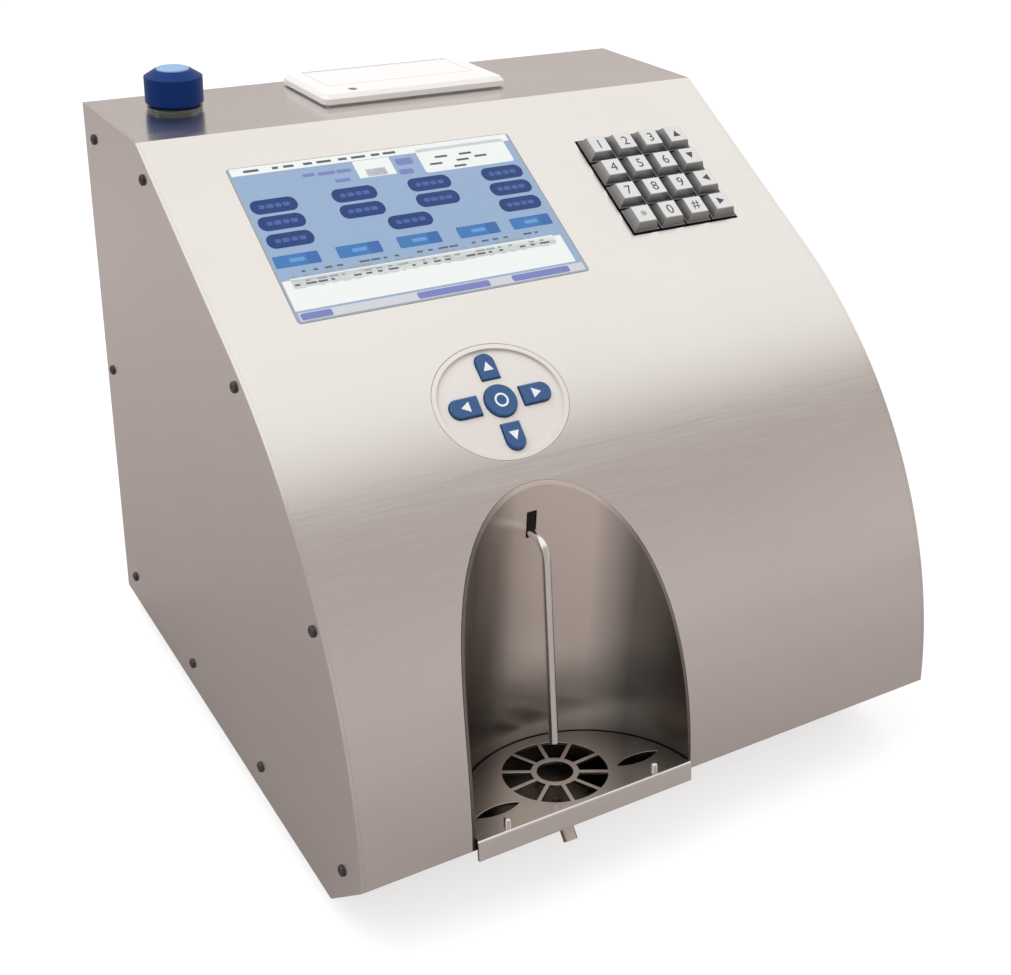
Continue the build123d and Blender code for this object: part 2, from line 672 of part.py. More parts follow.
def pan_section(wall):
    """Side view of the drip pan under the tilted floor, drawn in by wall"""
    inset = BASE_SHEET + GRID_SEAT_GAP + wall
    drop = GRID_SHEET + GRID_SEAT_GAP
    back = NICHE_FRONT + NICHE_RADIUS - PAN_CLEARANCE - wall
    bottom = PAN_BOTTOM + wall
    lift = OVERRUN if wall else 0
    front = chamfer_y(floor_z(0, drop), inset) / (1 - CHAMFER_SPAN / CHAMFER_RISE * math.tan(TILT))
    front_z = floor_z(front, drop) + lift
    return make_face(Polyline((chamfer_y(front_z, inset), front_z), (chamfer_y(bottom, inset), bottom),
                              (back, bottom), (back, floor_z(back, drop) + lift), close=True))


def pan_scoop(wall):
    """The pan's outer form, or its hollow where wall is its sheet"""
    radius = NICHE_RADIUS - PAN_CLEARANCE - wall
    column = Pos(STATION_X, NICHE_FRONT, 0) * Cylinder(radius, HEIGHT, align=STAND)
    column &= block((-WIDTH, WIDTH), (FLOOR_FRONT + PAN_CLEARANCE + wall, DEPTH), (0, HEIGHT))
    return across(pan_section(wall), STATION_X - radius, STATION_X + radius) & column


def drip_pan():
    """Catch tray under the grid, with a drain that leaves square to the chamfer"""
    point, direction = drain_frame()
    reach = BASE_SHEET + GRID_SEAT_GAP + PAN_SHEET
    start = tuple(p - d * reach for p, d in zip(point, direction))
    inside = tuple(p - d * (reach + OVERRUN) for p, d in zip(point, direction))
    pan = pan_scoop(0) - pan_scoop(PAN_SHEET)
    pan += rod(start, direction, DRAIN_ROOT_RADIUS, reach)
    pan += rod(point, direction, DRAIN_RADIUS, DRAIN_LENGTH)
    return pan - rod(inside, direction, DRAIN_BORE, reach + DRAIN_LENGTH + 2 * OVERRUN)


def leaf_face():
    """Pointed oval between two equal arcs"""
    tip, bulge = LEAF_LENGTH / 2, LEAF_WIDTH / 2
    upper = ThreePointArc((-tip, 0), (0, bulge), (tip, 0))
    return make_face([upper, ThreePointArc((tip, 0), (0, -bulge), (-tip, 0))])


def ring_holes():
    """Sector holes between the hub and the ring, with the hub's own hole"""
    sectors = Circle(RING_RADIUS) - Circle(HUB_RADIUS)
    for spoke in range(SPOKE_COUNT):
        turn = SPOKE_TURN + 360 / SPOKE_COUNT * spoke
        sectors -= Rot(0, 0, turn) * Pos(RING_RADIUS, 0) * Rectangle(2 * RING_RADIUS, SPOKE_WIDTH)
    return sectors + Circle(HUB_HOLE_RADIUS)


def drip_grid():
    """Tilted floor of the niche: a ring of sector holes round a hub, two leaf slots and a folded front lip"""
    radius = NICHE_RADIUS - GRID_CLEARANCE
    fold_first = (Align.CENTER, Align.MIN, Align.MAX)
    outline = Pos(STATION_X, NICHE_FRONT, 0) * Cylinder(radius, HEIGHT, align=STAND)
    outline += block((STATION_X - radius, STATION_X + radius), (-OVERRUN, NICHE_FRONT), (0, HEIGHT))
    sheet = on_floor(0, -LIP_REACH) * Box(2 * radius, 2 * radius, GRID_SHEET, align=fold_first)
    lip = on_floor(0, -LIP_REACH) * Box(LIP_LENGTH, GRID_SHEET, LIP_HEIGHT, align=fold_first)
    grid = (sheet & outline) + lip
    fold = grid.edges().filter_by(Axis.X).sort_by(lambda edge: edge.center().Y - edge.center().Z)[0]
    grid = fillet(fold, LIP_FOLD)
    grid -= on_floor(0, RING_BACK, -OVERRUN) * extrude(ring_holes(), amount=2 * OVERRUN)
    for side in (-1, 1):
        grid -= on_floor(side * LEAF_OUT, LEAF_BACK, -OVERRUN) * extrude(leaf_face(), amount=2 * OVERRUN)
        grid -= on_floor(side * STUD_OUT, STUD_BACK) * Cylinder(STUD_SHANK_RADIUS + TUBE_FIT, 2 * OVERRUN)
    return grid


def grid_studs():
    """Two round headed pins that the grid is pulled out by"""
    studs = []
    for side in (-1, 1):
        post = Cylinder(STUD_RADIUS, STUD_HEIGHT, align=STAND)
        post = chamfer(post.edges().sort_by(Axis.Z)[-1], STUD_RADIUS * STUD_BEVEL_SHARE)
        post += Cylinder(STUD_SHANK_RADIUS, GRID_SHEET, align=HANG)
        studs.append(on_floor(side * STUD_OUT, STUD_BACK) * post)
    return studs


def bar_along(path, radius):
    """Round bar along a path"""
    return sweep(Plane(origin=path @ 0, z_dir=path % 0) * Circle(radius), path=path)


def sample_tube():
    """Steel suction tube: out of the cell, through the grommet, then down and forward over the hub"""
    end_y = NICHE_FRONT + TUBE_END_BACK
    corner_y = end_y + (TUBE_Z - TUBE_END_Z) * math.tan(math.radians(TUBE_LEAN))
    path = FilletPolyline((STATION_X, CELL_FRONT + TUBE_PLUG, TUBE_Z), (STATION_X, corner_y, TUBE_Z),
                          (STATION_X, end_y, TUBE_END_Z), radius=TUBE_BEND)
    return bar_along(path, TUBE_RADIUS) - bar_along(path, TUBE_BORE)


def tube_grommet():
    """Black plate behind the niche wall whose tongue fills the slot round the tube"""
    front = NICHE_FRONT + NICHE_RADIUS + GROMMET_RECESS
    plate = NICHE_FRONT + LINER_RADIUS + SEAM
    half = SLOT_WIDTH / 2 - SEAM
    rise = SLOT_HEIGHT / 2 - SEAM
    body = block((STATION_X - GROMMET_WIDTH / 2, STATION_X + GROMMET_WIDTH / 2),
                 (plate, plate + GROMMET_THICKNESS),
                 (SLOT_Z - GROMMET_HEIGHT / 2, SLOT_Z + GROMMET_HEIGHT / 2))
    body += block((STATION_X - half, STATION_X + half), (front, plate + GROMMET_THICKNESS),
                  (SLOT_Z - rise, SLOT_Z + rise))
    return body - rod((STATION_X, front - OVERRUN, TUBE_Z), (0, 1, 0), TUBE_RADIUS + TUBE_FIT, FLANGE)


def display_lens():
    """Flush glass of the colour screen"""
    pane = Box(LENS_WIDTH, LENS_HEIGHT, LENS_THICKNESS, align=HANG)
    return on_slant(STATION_X, LENS_S) * fillet(pane.edges().filter_by(Axis.Z), LENS_CORNER)


def display_module():
    """Screen panel behind the glass, with its drive board on the back"""
    width, height = LENS_WIDTH + 2 * MODULE_MARGIN, LENS_HEIGHT + 2 * MODULE_MARGIN
    return on_slant(STATION_X, LENS_S, -LENS_THICKNESS) * Box(width, height, MODULE_THICKNESS, align=HANG)


def display_bracket():
    """Windowed sheet that holds the screen up against the cover by four posts"""
    width = LENS_WIDTH + 2 * MODULE_MARGIN + 2 * BRACKET_EDGE
    height = BRACKET_POST_SPAN + BRACKET_EDGE
    back = LENS_THICKNESS + MODULE_THICKNESS
    sheet = on_slant(STATION_X, LENS_S, -back) * Box(width, height, BRACKET_SHEET, align=HANG)
    window = Box(width * BRACKET_WINDOW_SHARE, height * BRACKET_WINDOW_SHARE, 2 * OVERRUN)
    sheet -= on_slant(STATION_X, LENS_S, -back) * window
    for side in (-1, 1):
        for end in (-1, 1):
            x = STATION_X + side * (width - BRACKET_EDGE) / 2
            post = Cylinder(BRACKET_POST_RADIUS, back - COVER_SHEET, align=HANG)
            sheet += on_slant(x, LENS_S + end * BRACKET_POST_SPAN / 2, -COVER_SHEET) * post
    return sheet


def key_places():
    """Column, row, place across and place down the slope of each key"""
    middle = (KEY_COUNT - 1) / 2
    return [(column, row, KEYPAD_X + (column - middle) * KEY_PITCH, KEYPAD_DOWN + (row - middle) * KEY_PITCH)
            for row in range(KEY_COUNT) for column in range(KEY_COUNT)]


def keypad_base():
    """Key tray behind the cover, with a square guide hole under every key"""
    rim = KEYPAD_WIDTH + 2 * KEYPAD_RIM
    wide = KEYPAD_WIDTH + 2 * KEYPAD_WALL
    tray = Pos(0, 0, -COVER_SHEET) * Box(rim, rim, KEYPAD_RIM_THICKNESS, align=HANG)
    tray += Pos(0, 0, -COVER_SHEET) * Box(wide, wide, KEYPAD_DEPTH - COVER_SHEET, align=HANG)
    tray -= Box(KEYPAD_WIDTH, KEYPAD_WIDTH, KEYPAD_WELL, align=HANG)
    ceiling = KEYPAD_WELL + KEYPAD_GUIDE
    hollow = KEYPAD_DEPTH - KEYPAD_WALL - ceiling
    tray -= Pos(0, 0, -ceiling) * Box(KEYPAD_WIDTH, KEYPAD_WIDTH, hollow, align=HANG)
    tray = on_slant(KEYPAD_X, KEYPAD_DOWN) * tray
    hole = KEY_STEM + 2 * KEY_GUIDE_CLEARANCE
    for _, _, x, down in key_places():
        tray -= on_slant(x, down) * Box(hole, hole, ceiling + OVERRUN, align=HANG)
    return tray


def key(x, down):
    """Metal key: square flange, tapered crown and guide stem"""
    crown_z = KEY_FLANGE_THICKNESS - KEY_LIFT
    crown = loft([Pos(0, 0, crown_z) * Rectangle(KEY_BASE, KEY_BASE),
                  Pos(0, 0, KEY_HEIGHT) * Rectangle(KEY_TOP, KEY_TOP)], ruled=True)
    body = Pos(0, 0, -KEY_LIFT) * Box(KEY_FLANGE, KEY_FLANGE, KEY_FLANGE_THICKNESS, align=STAND)
    body += crown
    body += Pos(0, 0, -KEY_LIFT) * Box(KEY_STEM, KEY_STEM, KEY_STEM_LENGTH, align=HANG)
    return on_slant(x, down) * body


def arrow_face(length, grow):
    """D shaped outline pointing along x from its flat end, grown all round"""
    half = NAV_ARROW_WIDTH / 2
    straight = length - half
    shape = Pos((straight - grow) / 2, 0) * Rectangle(straight + grow, 2 * (half + grow))
    return shape + Pos(straight, 0) * Circle(half + grow)


def nav_outlines(grow):
    """Name, outline and middle and far distance up the pad of each blue button"""
    outlines = [("centre", Circle(NAV_CENTRE_RADIUS + grow), 0, NAV_CENTRE_RADIUS)]
    for turn, name in enumerate(("right", "up", "left", "down")):
        length = NAV_ARROW_LENGTHS[turn % 2]
        face = Rot(0, 0, 90 * turn) * Pos(NAV_ARROW_INNER, 0) * arrow_face(length, grow)
        middle = turn % 2 * (NAV_ARROW_INNER + length / 2)
        far = NAV_ARROW_INNER + length if turn % 2 else NAV_ARROW_WIDTH / 2
        outlines.append((name, face, middle, far))
    return outlines


def curve_drop(distance):
    """How far the curve falls from the pad's tangent plane"""
    return FRONT_RADIUS - math.sqrt(FRONT_RADIUS**2 - distance**2)


NAV_PLATE_LOW = NAV_THICKNESS + curve_drop(NAV_HALF_HEIGHT)
NAV_BOARD_TOP = -(NAV_PLATE_LOW + NAV_LEDGE_THICKNESS + NAV_TRAVEL + NAV_BOARD_GAP)


def nav_pad_plate():
    """Oval dished insert that follows the curve, clamped behind the cover by a ledge, with two board posts"""
    plate = nav_prism(-SEAM, -FLANGE, FLANGE) & (curve_bar(0) - curve_bar(NAV_THICKNESS))
    ledge = nav_prism(NAV_LEDGE, -FLANGE, FLANGE)
    plate += ledge & (curve_bar(COVER_SHEET + NAV_SEAT_GAP) - curve_bar(NAV_THICKNESS))
    plate -= nav_prism(-NAV_RIM, -FLANGE, FLANGE) - curve_bar(NAV_DISH)
    for _, face, _, _ in nav_outlines(NAV_HOLE_CLEARANCE):
        plate -= on_nav(0, 0, -FLANGE) * extrude(face, amount=2 * FLANGE)
    for side in (-1, 1):
        post_z = -NAV_THICKNESS + NAV_DISH
        post = Cylinder(NAV_POST_RADIUS, post_z - NAV_BOARD_TOP, align=HANG)
        plate += on_nav(side * NAV_HALF_WIDTH * NAV_POST_SHARE, 0, post_z) * post
    return plate


def nav_buttons():
    """Blue buttons, each with a ledge that keeps it under the pad"""
    buttons = {}
    wide = nav_outlines(NAV_HOLE_CLEARANCE + NAV_BUTTON_LEDGE)
    for (name, face, middle, far), (_, ledge, _, _) in zip(nav_outlines(0), wide):
        top = NAV_PROUD - NAV_DISH - curve_drop(middle)
        ledge_top = -NAV_THICKNESS - curve_drop(far + NAV_BUTTON_LEDGE) - NAV_HOLE_CLEARANCE
        ledge_low = ledge_top - NAV_LEDGE_THICKNESS
        column = extrude(face, amount=top - ledge_low)
        column = chamfer(column.edges().group_by(Axis.Z)[-1], NAV_CROWN)
        column += extrude(ledge, amount=NAV_LEDGE_THICKNESS)
        buttons["nav_button_" + name] = on_nav(0, 0, ledge_low) * column
    return buttons


def nav_board():
    """Oval switch board behind the pad"""
    oval = Ellipse(NAV_HALF_WIDTH, NAV_HALF_HEIGHT)
    return on_nav(0, 0, NAV_BOARD_TOP - NAV_BOARD_THICKNESS) * extrude(oval, amount=NAV_BOARD_THICKNESS)


def roll_bar(radius, half):
    """Bar along the paper roll's axis"""
    return rod((PRINTER_X - half, ROLL_Y, ROLL_Z), (1, 0, 0), radius, 2 * half)


def printer_body():
    """White slab on a plinth, over a paper bay that hangs through the top of the housing"""
    half = PRINTER_WIDTH / 2
    slab = block((PRINTER_X - half, PRINTER_X + half), (printer_front(), PRINTER_REAR),
                 (PRINTER_BASE, PRINTER_TOP))
    slab = fillet(slab.edges().filter_by(Axis.Z), PRINTER_CORNER)
    slab = chamfer(slab.edges().group_by(Axis.Z)[-1], PRINTER_BEVEL)
    foot = half - PRINTER_PLINTH_INSET
    body = slab + block((PRINTER_X - foot, PRINTER_X + foot),
                        (printer_front() + PRINTER_PLINTH_INSET, PRINTER_REAR - PRINTER_PLINTH_INSET),
                        (HEIGHT, PRINTER_BASE))
    floor = ROLL_Z - ROLL_RADIUS - ROLL_CLEARANCE - BAY_WALL
    body += block((PRINTER_X - BAY_HALF, PRINTER_X + BAY_HALF), (BAY_FRONT, BAY_REAR), (floor, HEIGHT))
    inner = BAY_HALF - BAY_WALL
    bay = (PRINTER_X - inner, PRINTER_X + inner)
    body -= roll_bar(ROLL_RADIUS + ROLL_CLEARANCE, inner)
    body -= block(bay, (LID_FRONT - LID_GAP, BAY_REAR - BAY_WALL), (ROLL_Z, PRINTER_TOP + OVERRUN))
    pocket = PLATEN_RADIUS + PLATEN_POCKET
    body -= block(bay, (PLATEN_Y - pocket, ROLL_Y), (PLATEN_Z - pocket, PLATEN_Z + pocket))
    leaf_half = LID_WIDTH / 2 + LID_GAP
    swing = LID_THICKNESS + LID_GAP
    body -= block((PRINTER_X - leaf_half, PRINTER_X + leaf_half), (LID_FRONT - LID_GAP, LID_PIN_Y + swing),
                  (PRINTER_TOP - LID_THICKNESS - SEAM, PRINTER_TOP + OVERRUN))
    body -= block((PRINTER_X - leaf_half, PRINTER_X + leaf_half), (LID_PIN_Y - swing, LID_PIN_Y + swing),
                  (LID_PIN_Z - swing, PRINTER_TOP))
    body -= lid_shaft(LID_PIN_RADIUS + SHAFT_FIT, SEAM)
    body -= platen_shaft(PLATEN_SHAFT_RADIUS + SHAFT_FIT, SEAM)
    lamp = (PRINTER_X - PRINTER_LAMP_OUT, printer_front() + PRINTER_LAMP_BACK,
            PRINTER_TOP - PRINTER_LAMP_DEPTH)
    return body - rod(lamp, (0, 0, 1), PRINTER_LAMP_RADIUS, OVERRUN)


def lid_shaft(radius, spare=0.0):
    """Bar along the lid's hinge, into its seats"""
    half = LID_WIDTH / 2 + LID_GAP + SHAFT_SEAT + spare
    return rod((PRINTER_X - half, LID_PIN_Y, LID_PIN_Z), (1, 0, 0), radius, 2 * half)


def platen_shaft(radius, spare=0.0):
    """Bar along the platen's axis, between the outsides of the bay"""
    half = BAY_HALF + spare
    return rod((PRINTER_X - half, PLATEN_Y, PLATEN_Z), (1, 0, 0), radius, 2 * half)


def printer_lid():
    """Flush lid whose round back edge turns on the pin"""
    half = LID_WIDTH / 2
    lid = block((PRINTER_X - half, PRINTER_X + half), (LID_FRONT, LID_PIN_Y), (LID_PIN_Z, PRINTER_TOP))
    lid += rod((PRINTER_X - half, LID_PIN_Y, LID_PIN_Z), (1, 0, 0), LID_THICKNESS, LID_WIDTH)
    return lid - lid_shaft(LID_PIN_RADIUS + SHAFT_FIT)


def paper_roll():
    """Roll of receipt paper with its core hole"""
    return roll_bar(ROLL_RADIUS, ROLL_WIDTH / 2) - roll_bar(ROLL_CORE_RADIUS, ROLL_WIDTH)


def platen_roller():
    """Rubber feed roller on its shaft"""
    half = ROLL_WIDTH / 2
    sleeve = rod((PRINTER_X - half, PLATEN_Y, PLATEN_Z), (1, 0, 0), PLATEN_RADIUS, ROLL_WIDTH)
    return platen_shaft(PLATEN_SHAFT_RADIUS) + sleeve


def turned(points):
    """Solid of revolution about the filling port's axis from radius and height pairs"""
    return Pos(PORT_X, PORT_Y, 0) * revolve(Plane.XZ * make_face(Polyline(*points, close=True)), Axis.Z)


def port_bottle():
    """Clear bottle that hangs in the top by its collar, open at its neck"""
    collar = HEIGHT + COLLAR_THICKNESS
    floor = HEIGHT - BOTTLE_DEPTH
    inside = BOTTLE_RADIUS - BOTTLE_WALL
    return turned([(0, floor), (BOTTLE_RADIUS, floor), (BOTTLE_RADIUS, HEIGHT), (COLLAR_RADIUS, HEIGHT),
                   (COLLAR_RADIUS, collar), (NECK_RADIUS, collar), (NECK_RADIUS, NECK_TOP),
                   (NECK_BORE, NECK_TOP), (NECK_BORE, HEIGHT), (inside, HEIGHT - BOTTLE_WALL),
                   (inside, floor + BOTTLE_WALL), (0, floor + BOTTLE_WALL)])


def cap_liner():
    """Sealing disc on the bottle's rim"""
    return rod((PORT_X, PORT_Y, NECK_TOP), (0, 0, 1), NECK_RADIUS, LINER_THICKNESS)


def screw_cap():
    """Screw cap with coned ends"""
    bore = NECK_RADIUS + CAP_FIT
    roof = NECK_TOP + LINER_THICKNESS
    top = CAP_Z + CAP_HEIGHT
    return turned([(0, roof), (bore, roof), (bore, CAP_Z), (CAP_BOTTOM_RADIUS, CAP_Z),
                   (CAP_RADIUS, CAP_Z + CAP_BOTTOM_CONE), (CAP_RADIUS, top - CAP_TOP_CONE),
                   (CAP_TOP_RADIUS, top), (0, top)])


def rounded_block(xs, ys, zs, radius):
    """Box with rounded edges along y"""
    return fillet(block(xs, ys, zs).edges().filter_by(Axis.Y), radius)


ROCKER_X = INLET_X + ROCKER_OUT
ROCKER_Y = DEPTH + INLET_PLATE - ROCKER_PIN_DEEP


def rocker_pin(radius, spare=0.0):
    """Bar along the rocker's pivot"""
    half = ROCKER_WIDTH / 2 + ROCKER_PIN_LENGTH + spare
    return rod((ROCKER_X - half, ROCKER_Y, INLET_Z), (1, 0, 0), radius, 2 * half)


def power_inlet():
    """Mains inlet with three blades in its socket, and the frame of the rocker switch, in one moulding"""
    half, rise = INLET_WIDTH / 2, INLET_HEIGHT / 2
    face = DEPTH + INLET_PLATE
    inlet = rounded_block((INLET_X - half, INLET_X + half), (DEPTH, face), (INLET_Z - rise, INLET_Z + rise),
                          INLET_CORNER)
    half, rise = half - INLET_BODY_INSET, rise - INLET_BODY_INSET
    inlet += block((INLET_X - half, INLET_X + half), (DEPTH - INLET_DEPTH, DEPTH),
                   (INLET_Z - rise, INLET_Z + rise))
    x = INLET_X - SOCKET_OUT
    back = face - SOCKET_DEPTH
    socket = block((x - SOCKET_WIDTH / 2, x + SOCKET_WIDTH / 2), (back, face + OVERRUN),
                   (INLET_Z - SOCKET_HEIGHT / 2, INLET_Z + SOCKET_HEIGHT / 2))
    inlet -= chamfer(socket.edges().filter_by(Axis.Y).sort_by(Axis.Z)[-2:], SOCKET_CORNER)
    for out, up in ((-BLADE_OUT, -BLADE_DOWN), (0, EARTH_UP), (BLADE_OUT, -BLADE_DOWN)):
        inlet += block((x + out - BLADE_WIDTH / 2, x + out + BLADE_WIDTH / 2), (back, back + BLADE_LENGTH),
                       (INLET_Z + up - BLADE_HEIGHT / 2, INLET_Z + up + BLADE_HEIGHT / 2))
    half, rise = ROCKER_WIDTH / 2 + ROCKER_GAP / 2, ROCKER_HEIGHT / 2 + ROCKER_GAP
    inlet -= block((ROCKER_X - half, ROCKER_X + half),
                   (ROCKER_Y - ROCKER_BACK - 2 * ROCKER_GAP, face + OVERRUN),
                   (INLET_Z - rise, INLET_Z + rise))
    return inlet - rocker_pin(ROCKER_PIN_RADIUS + SHAFT_FIT, SEAM)


def switch_rocker():
    """Rocker with a shallow V face, at rest tipped to its off side"""
    rise, front = ROCKER_HEIGHT / 2, ROCKER_PIN_DEEP + ROCKER_PROUD
    narrow = rise * ROCKER_BACK_SHARE
    profile = Polyline((-ROCKER_BACK, -narrow), (0, -rise), (front, -rise), (front - ROCKER_NOTCH, 0),
                       (front, rise), (0, rise), (-ROCKER_BACK, narrow), close=True)
    rocker = across(make_face(profile), -ROCKER_WIDTH / 2, ROCKER_WIDTH / 2)
    return Pos(ROCKER_X, ROCKER_Y, INLET_Z) * Rot(-ROCKER_TILT, 0, 0) * rocker + rocker_pin(ROCKER_PIN_RADIUS)


def dsub_shell(x, low, high):
    """D shaped column between two places along y"""
    wide, rise = DSUB_SHELL_WIDTH / 2, DSUB_SHELL_HEIGHT / 2
    narrow = wide - DSUB_SHELL_SLOPE
    outline = make_face(Polyline((-wide, rise), (wide, rise), (narrow, -rise), (-narrow, -rise), close=True))
    frame = Plane(origin=(x, high, INLET_Z), x_dir=(1, 0, 0), z_dir=(0, -1, 0))
    return frame * extrude(outline, amount=high - low)


def data_ports():
    """Two nine way serial sockets with their jack posts"""
    ports = []
    for x in DSUB_PLACES:
        half, rise = DSUB_PLATE_WIDTH / 2, DSUB_PLATE_HEIGHT / 2
        port = rounded_block((x - half, x + half), (DEPTH, DEPTH + DSUB_PLATE),
                             (INLET_Z - rise, INLET_Z + rise), DSUB_SHELL_SLOPE)
        port += dsub_shell(x, DEPTH - DSUB_BODY_DEPTH, DEPTH + DSUB_SHELL_LENGTH)
        for side in (-1, 1):
            root = (x + side * DSUB_POST_OUT, DEPTH, INLET_Z)
            port += rod(root, (0, 1, 0), DSUB_POST_RADIUS, DSUB_POST_LENGTH)
        ports.append(port)
    return ports


def hose_barbs():
    """Waste outlet and rinse inlet: a collared barb outside, a nut and a plain stub inside"""
    nut = -REAR_SHEET - BARB_NUT_LENGTH
    stub = nut - BARB_STUB_LENGTH
    points = [(BARB_BORE, stub), (STUB_RADIUS, stub), (STUB_RADIUS, nut), (BARB_NUT_RADIUS, nut),
              (BARB_NUT_RADIUS, -REAR_SHEET), (HOSE_RADIUS, -REAR_SHEET), (HOSE_RADIUS, 0),
              (BARB_COLLAR_RADIUS, 0), (BARB_COLLAR_RADIUS, BARB_COLLAR_LENGTH)]
    for ridge in range(BARB_RIDGES):
        low = BARB_COLLAR_LENGTH + ridge * BARB_RIDGE_LENGTH
        tip = BARB_TIP_RADIUS if ridge == BARB_RIDGES - 1 else BARB_ROOT_RADIUS
        points += [(BARB_RADIUS, low), (tip, low + BARB_RIDGE_LENGTH)]
    points.append((BARB_BORE, BARB_LENGTH))
    barb = revolve(make_face(Polyline(*points, close=True)), Axis.Y)
    return [Pos(x, DEPTH, z) * barb for x, z in BARB_PLACES]


def sample_hoses():
    """Hose from the cell round the pump to the waste outlet, and the straight rinse hose"""
    left, right = PUMP_X - HOSE_LOOP_RADIUS, PUMP_X + HOSE_LOOP_RADIUS
    top = PUMP_Z + HOSE_LOOP_RADIUS
    low = BARB_PLACES[0][1]
    cell = (STATION_X + CELL_WIDTH / 2, HOSE_Y, SHELF_TOP + CELL_OUTLET_RISE)
    bend = HOSE_LOOP_RADIUS * HOSE_LOOP_SHARE
    path = FilletPolyline(cell, (left, HOSE_Y, cell[2]), (left, HOSE_Y, top), (right, HOSE_Y, top),
                          (right, HOSE_Y, low), (right, NUT_FACE, low),
                          radius=(HOSE_CORNER, bend, bend, HOSE_CORNER))
    x, z = BARB_PLACES[1]
    back = CELL_FRONT + CELL_DEPTH
    waste = bar_along(path, HOSE_RADIUS) - rod(cell, (1, 0, 0), HOSE_BORE, HOSE_END)
    waste -= rod((right, NUT_FACE, low), (0, -1, 0), HOSE_BORE, HOSE_END)
    rinse = rod((x, back, z), (0, 1, 0), HOSE_RADIUS, NUT_FACE - back)
    rinse -= rod((x, back, z), (0, 1, 0), HOSE_BORE, HOSE_END)
    rinse -= rod((x, NUT_FACE, z), (0, -1, 0), HOSE_BORE, HOSE_END)
    return [waste, rinse]


def measuring_cell():
    """Ultrasonic cell: grooved block with its sensors, a bore for the sample tube and two hose stubs"""
    half = CELL_WIDTH / 2
    back, roof = CELL_FRONT + CELL_DEPTH, SHELF_TOP + CELL_HEIGHT
    cell = block((STATION_X - half, STATION_X + half), (CELL_FRONT, back), (SHELF_TOP, roof))
    for side in (-1, 1):
        x = STATION_X + side * half
        low, high = sorted((x, x - side * CELL_GROOVE))
        cell -= block((low, high), (CELL_FRONT, CELL_FRONT + CELL_GROOVE), (SHELF_TOP, roof))
    middle_y = CELL_FRONT + CELL_DEPTH / 2
    cell += rod((STATION_X, middle_y, roof), (0, 0, 1), CELL_TRANSDUCER_RADIUS, CELL_TRANSDUCER_LENGTH)
    cell += rod((STATION_X - half, middle_y, SHELF_TOP + CELL_HEIGHT / 2), (-1, 0, 0), CELL_TRANSDUCER_RADIUS,
                CELL_TRANSDUCER_LENGTH)
    outlet = (STATION_X + half, HOSE_Y, SHELF_TOP + CELL_OUTLET_RISE)
    cell += rod(outlet, (1, 0, 0), STUB_RADIUS, CELL_STUB_LENGTH)
    x, z = BARB_PLACES[1]
    cell += rod((x, back, z), (0, 1, 0), STUB_RADIUS, CELL_STUB_LENGTH)
    return cell - rod((STATION_X, CELL_FRONT - OVERRUN, TUBE_Z), (0, 1, 0), TUBE_RADIUS + TUBE_FIT,
                      OVERRUN + TUBE_PLUG + SEAM)


def cell_bracket():
    """Sheet bridge that stands on the base and carries the cell and the pump"""
    left, right = STATION_X - SHELF_LEFT, STATION_X + SHELF_RIGHT
    ys = (SHELF_FRONT, SHELF_FRONT + SHELF_DEPTH)
    bracket = block((left, right), ys, (SHELF_Z, SHELF_TOP))
    for edge, inward in ((left, 1), (right, -1)):
        bracket += block(sorted((edge, edge + inward * SHELF_SHEET)), ys, (BASE_SHEET, SHELF_Z))
        bracket += block(sorted((edge, edge + inward * SHELF_FOOT)), ys,
                         (BASE_SHEET, BASE_SHEET + SHELF_SHEET))
    return bracket


def pump_body():
    """Cup of the peristaltic pump on its foot, notched where the hose comes in and goes out"""
    body = rod((PUMP_X, CELL_FRONT, PUMP_Z), (0, 1, 0), PUMP_RADIUS, PUMP_LENGTH)
    half = PUMP_FOOT_WIDTH / 2
    body += block((PUMP_X - half, PUMP_X + half), (CELL_FRONT, CELL_FRONT + PUMP_LENGTH), (SHELF_TOP, PUMP_Z))
    cup = PUMP_LENGTH - PUMP_BACK_WALL
    body -= rod((PUMP_X, CELL_FRONT, PUMP_Z), (0, 1, 0), PUMP_CUP_RADIUS, cup)
    body -= rod((PUMP_X, CELL_FRONT, PUMP_Z), (0, 1, 0), ROTOR_SHAFT_RADIUS + SHAFT_FIT, 2 * PUMP_LENGTH)
    notch = HOSE_RADIUS + HOSE_NOTCH_GAP
    for side in (-1, 1):
        xs = sorted((PUMP_X + side * (HOSE_LOOP_RADIUS - notch), PUMP_X + side * (PUMP_RADIUS + OVERRUN)))
        body -= block(xs, (CELL_FRONT, HOSE_Y + notch), (SHELF_TOP, PUMP_Z))
    return body


def pump_rotor():
    """Three rollers between two discs on a shaft"""
    start = CELL_FRONT + ROTOR_SETBACK
    end = start + ROTOR_LENGTH
    rotor = rod((PUMP_X, start, PUMP_Z), (0, 1, 0), ROTOR_HUB_RADIUS, ROTOR_LENGTH)
    rotor += rod((PUMP_X, end, PUMP_Z), (0, 1, 0), ROTOR_SHAFT_RADIUS, ROTOR_SHAFT_LENGTH)
    for y in (start, end - ROTOR_DISC):
        rotor += rod((PUMP_X, y, PUMP_Z), (0, 1, 0), ROTOR_DISC_RADIUS, ROTOR_DISC)
    for roller in range(ROLLER_COUNT):
        turn = 2 * math.pi * roller / ROLLER_COUNT
        x, z = PUMP_X + ROLLER_ORBIT * math.sin(turn), PUMP_Z + ROLLER_ORBIT * math.cos(turn)
        rotor += rod((x, start, z), (0, 1, 0), ROLLER_RADIUS, ROTOR_LENGTH)
    return rotor


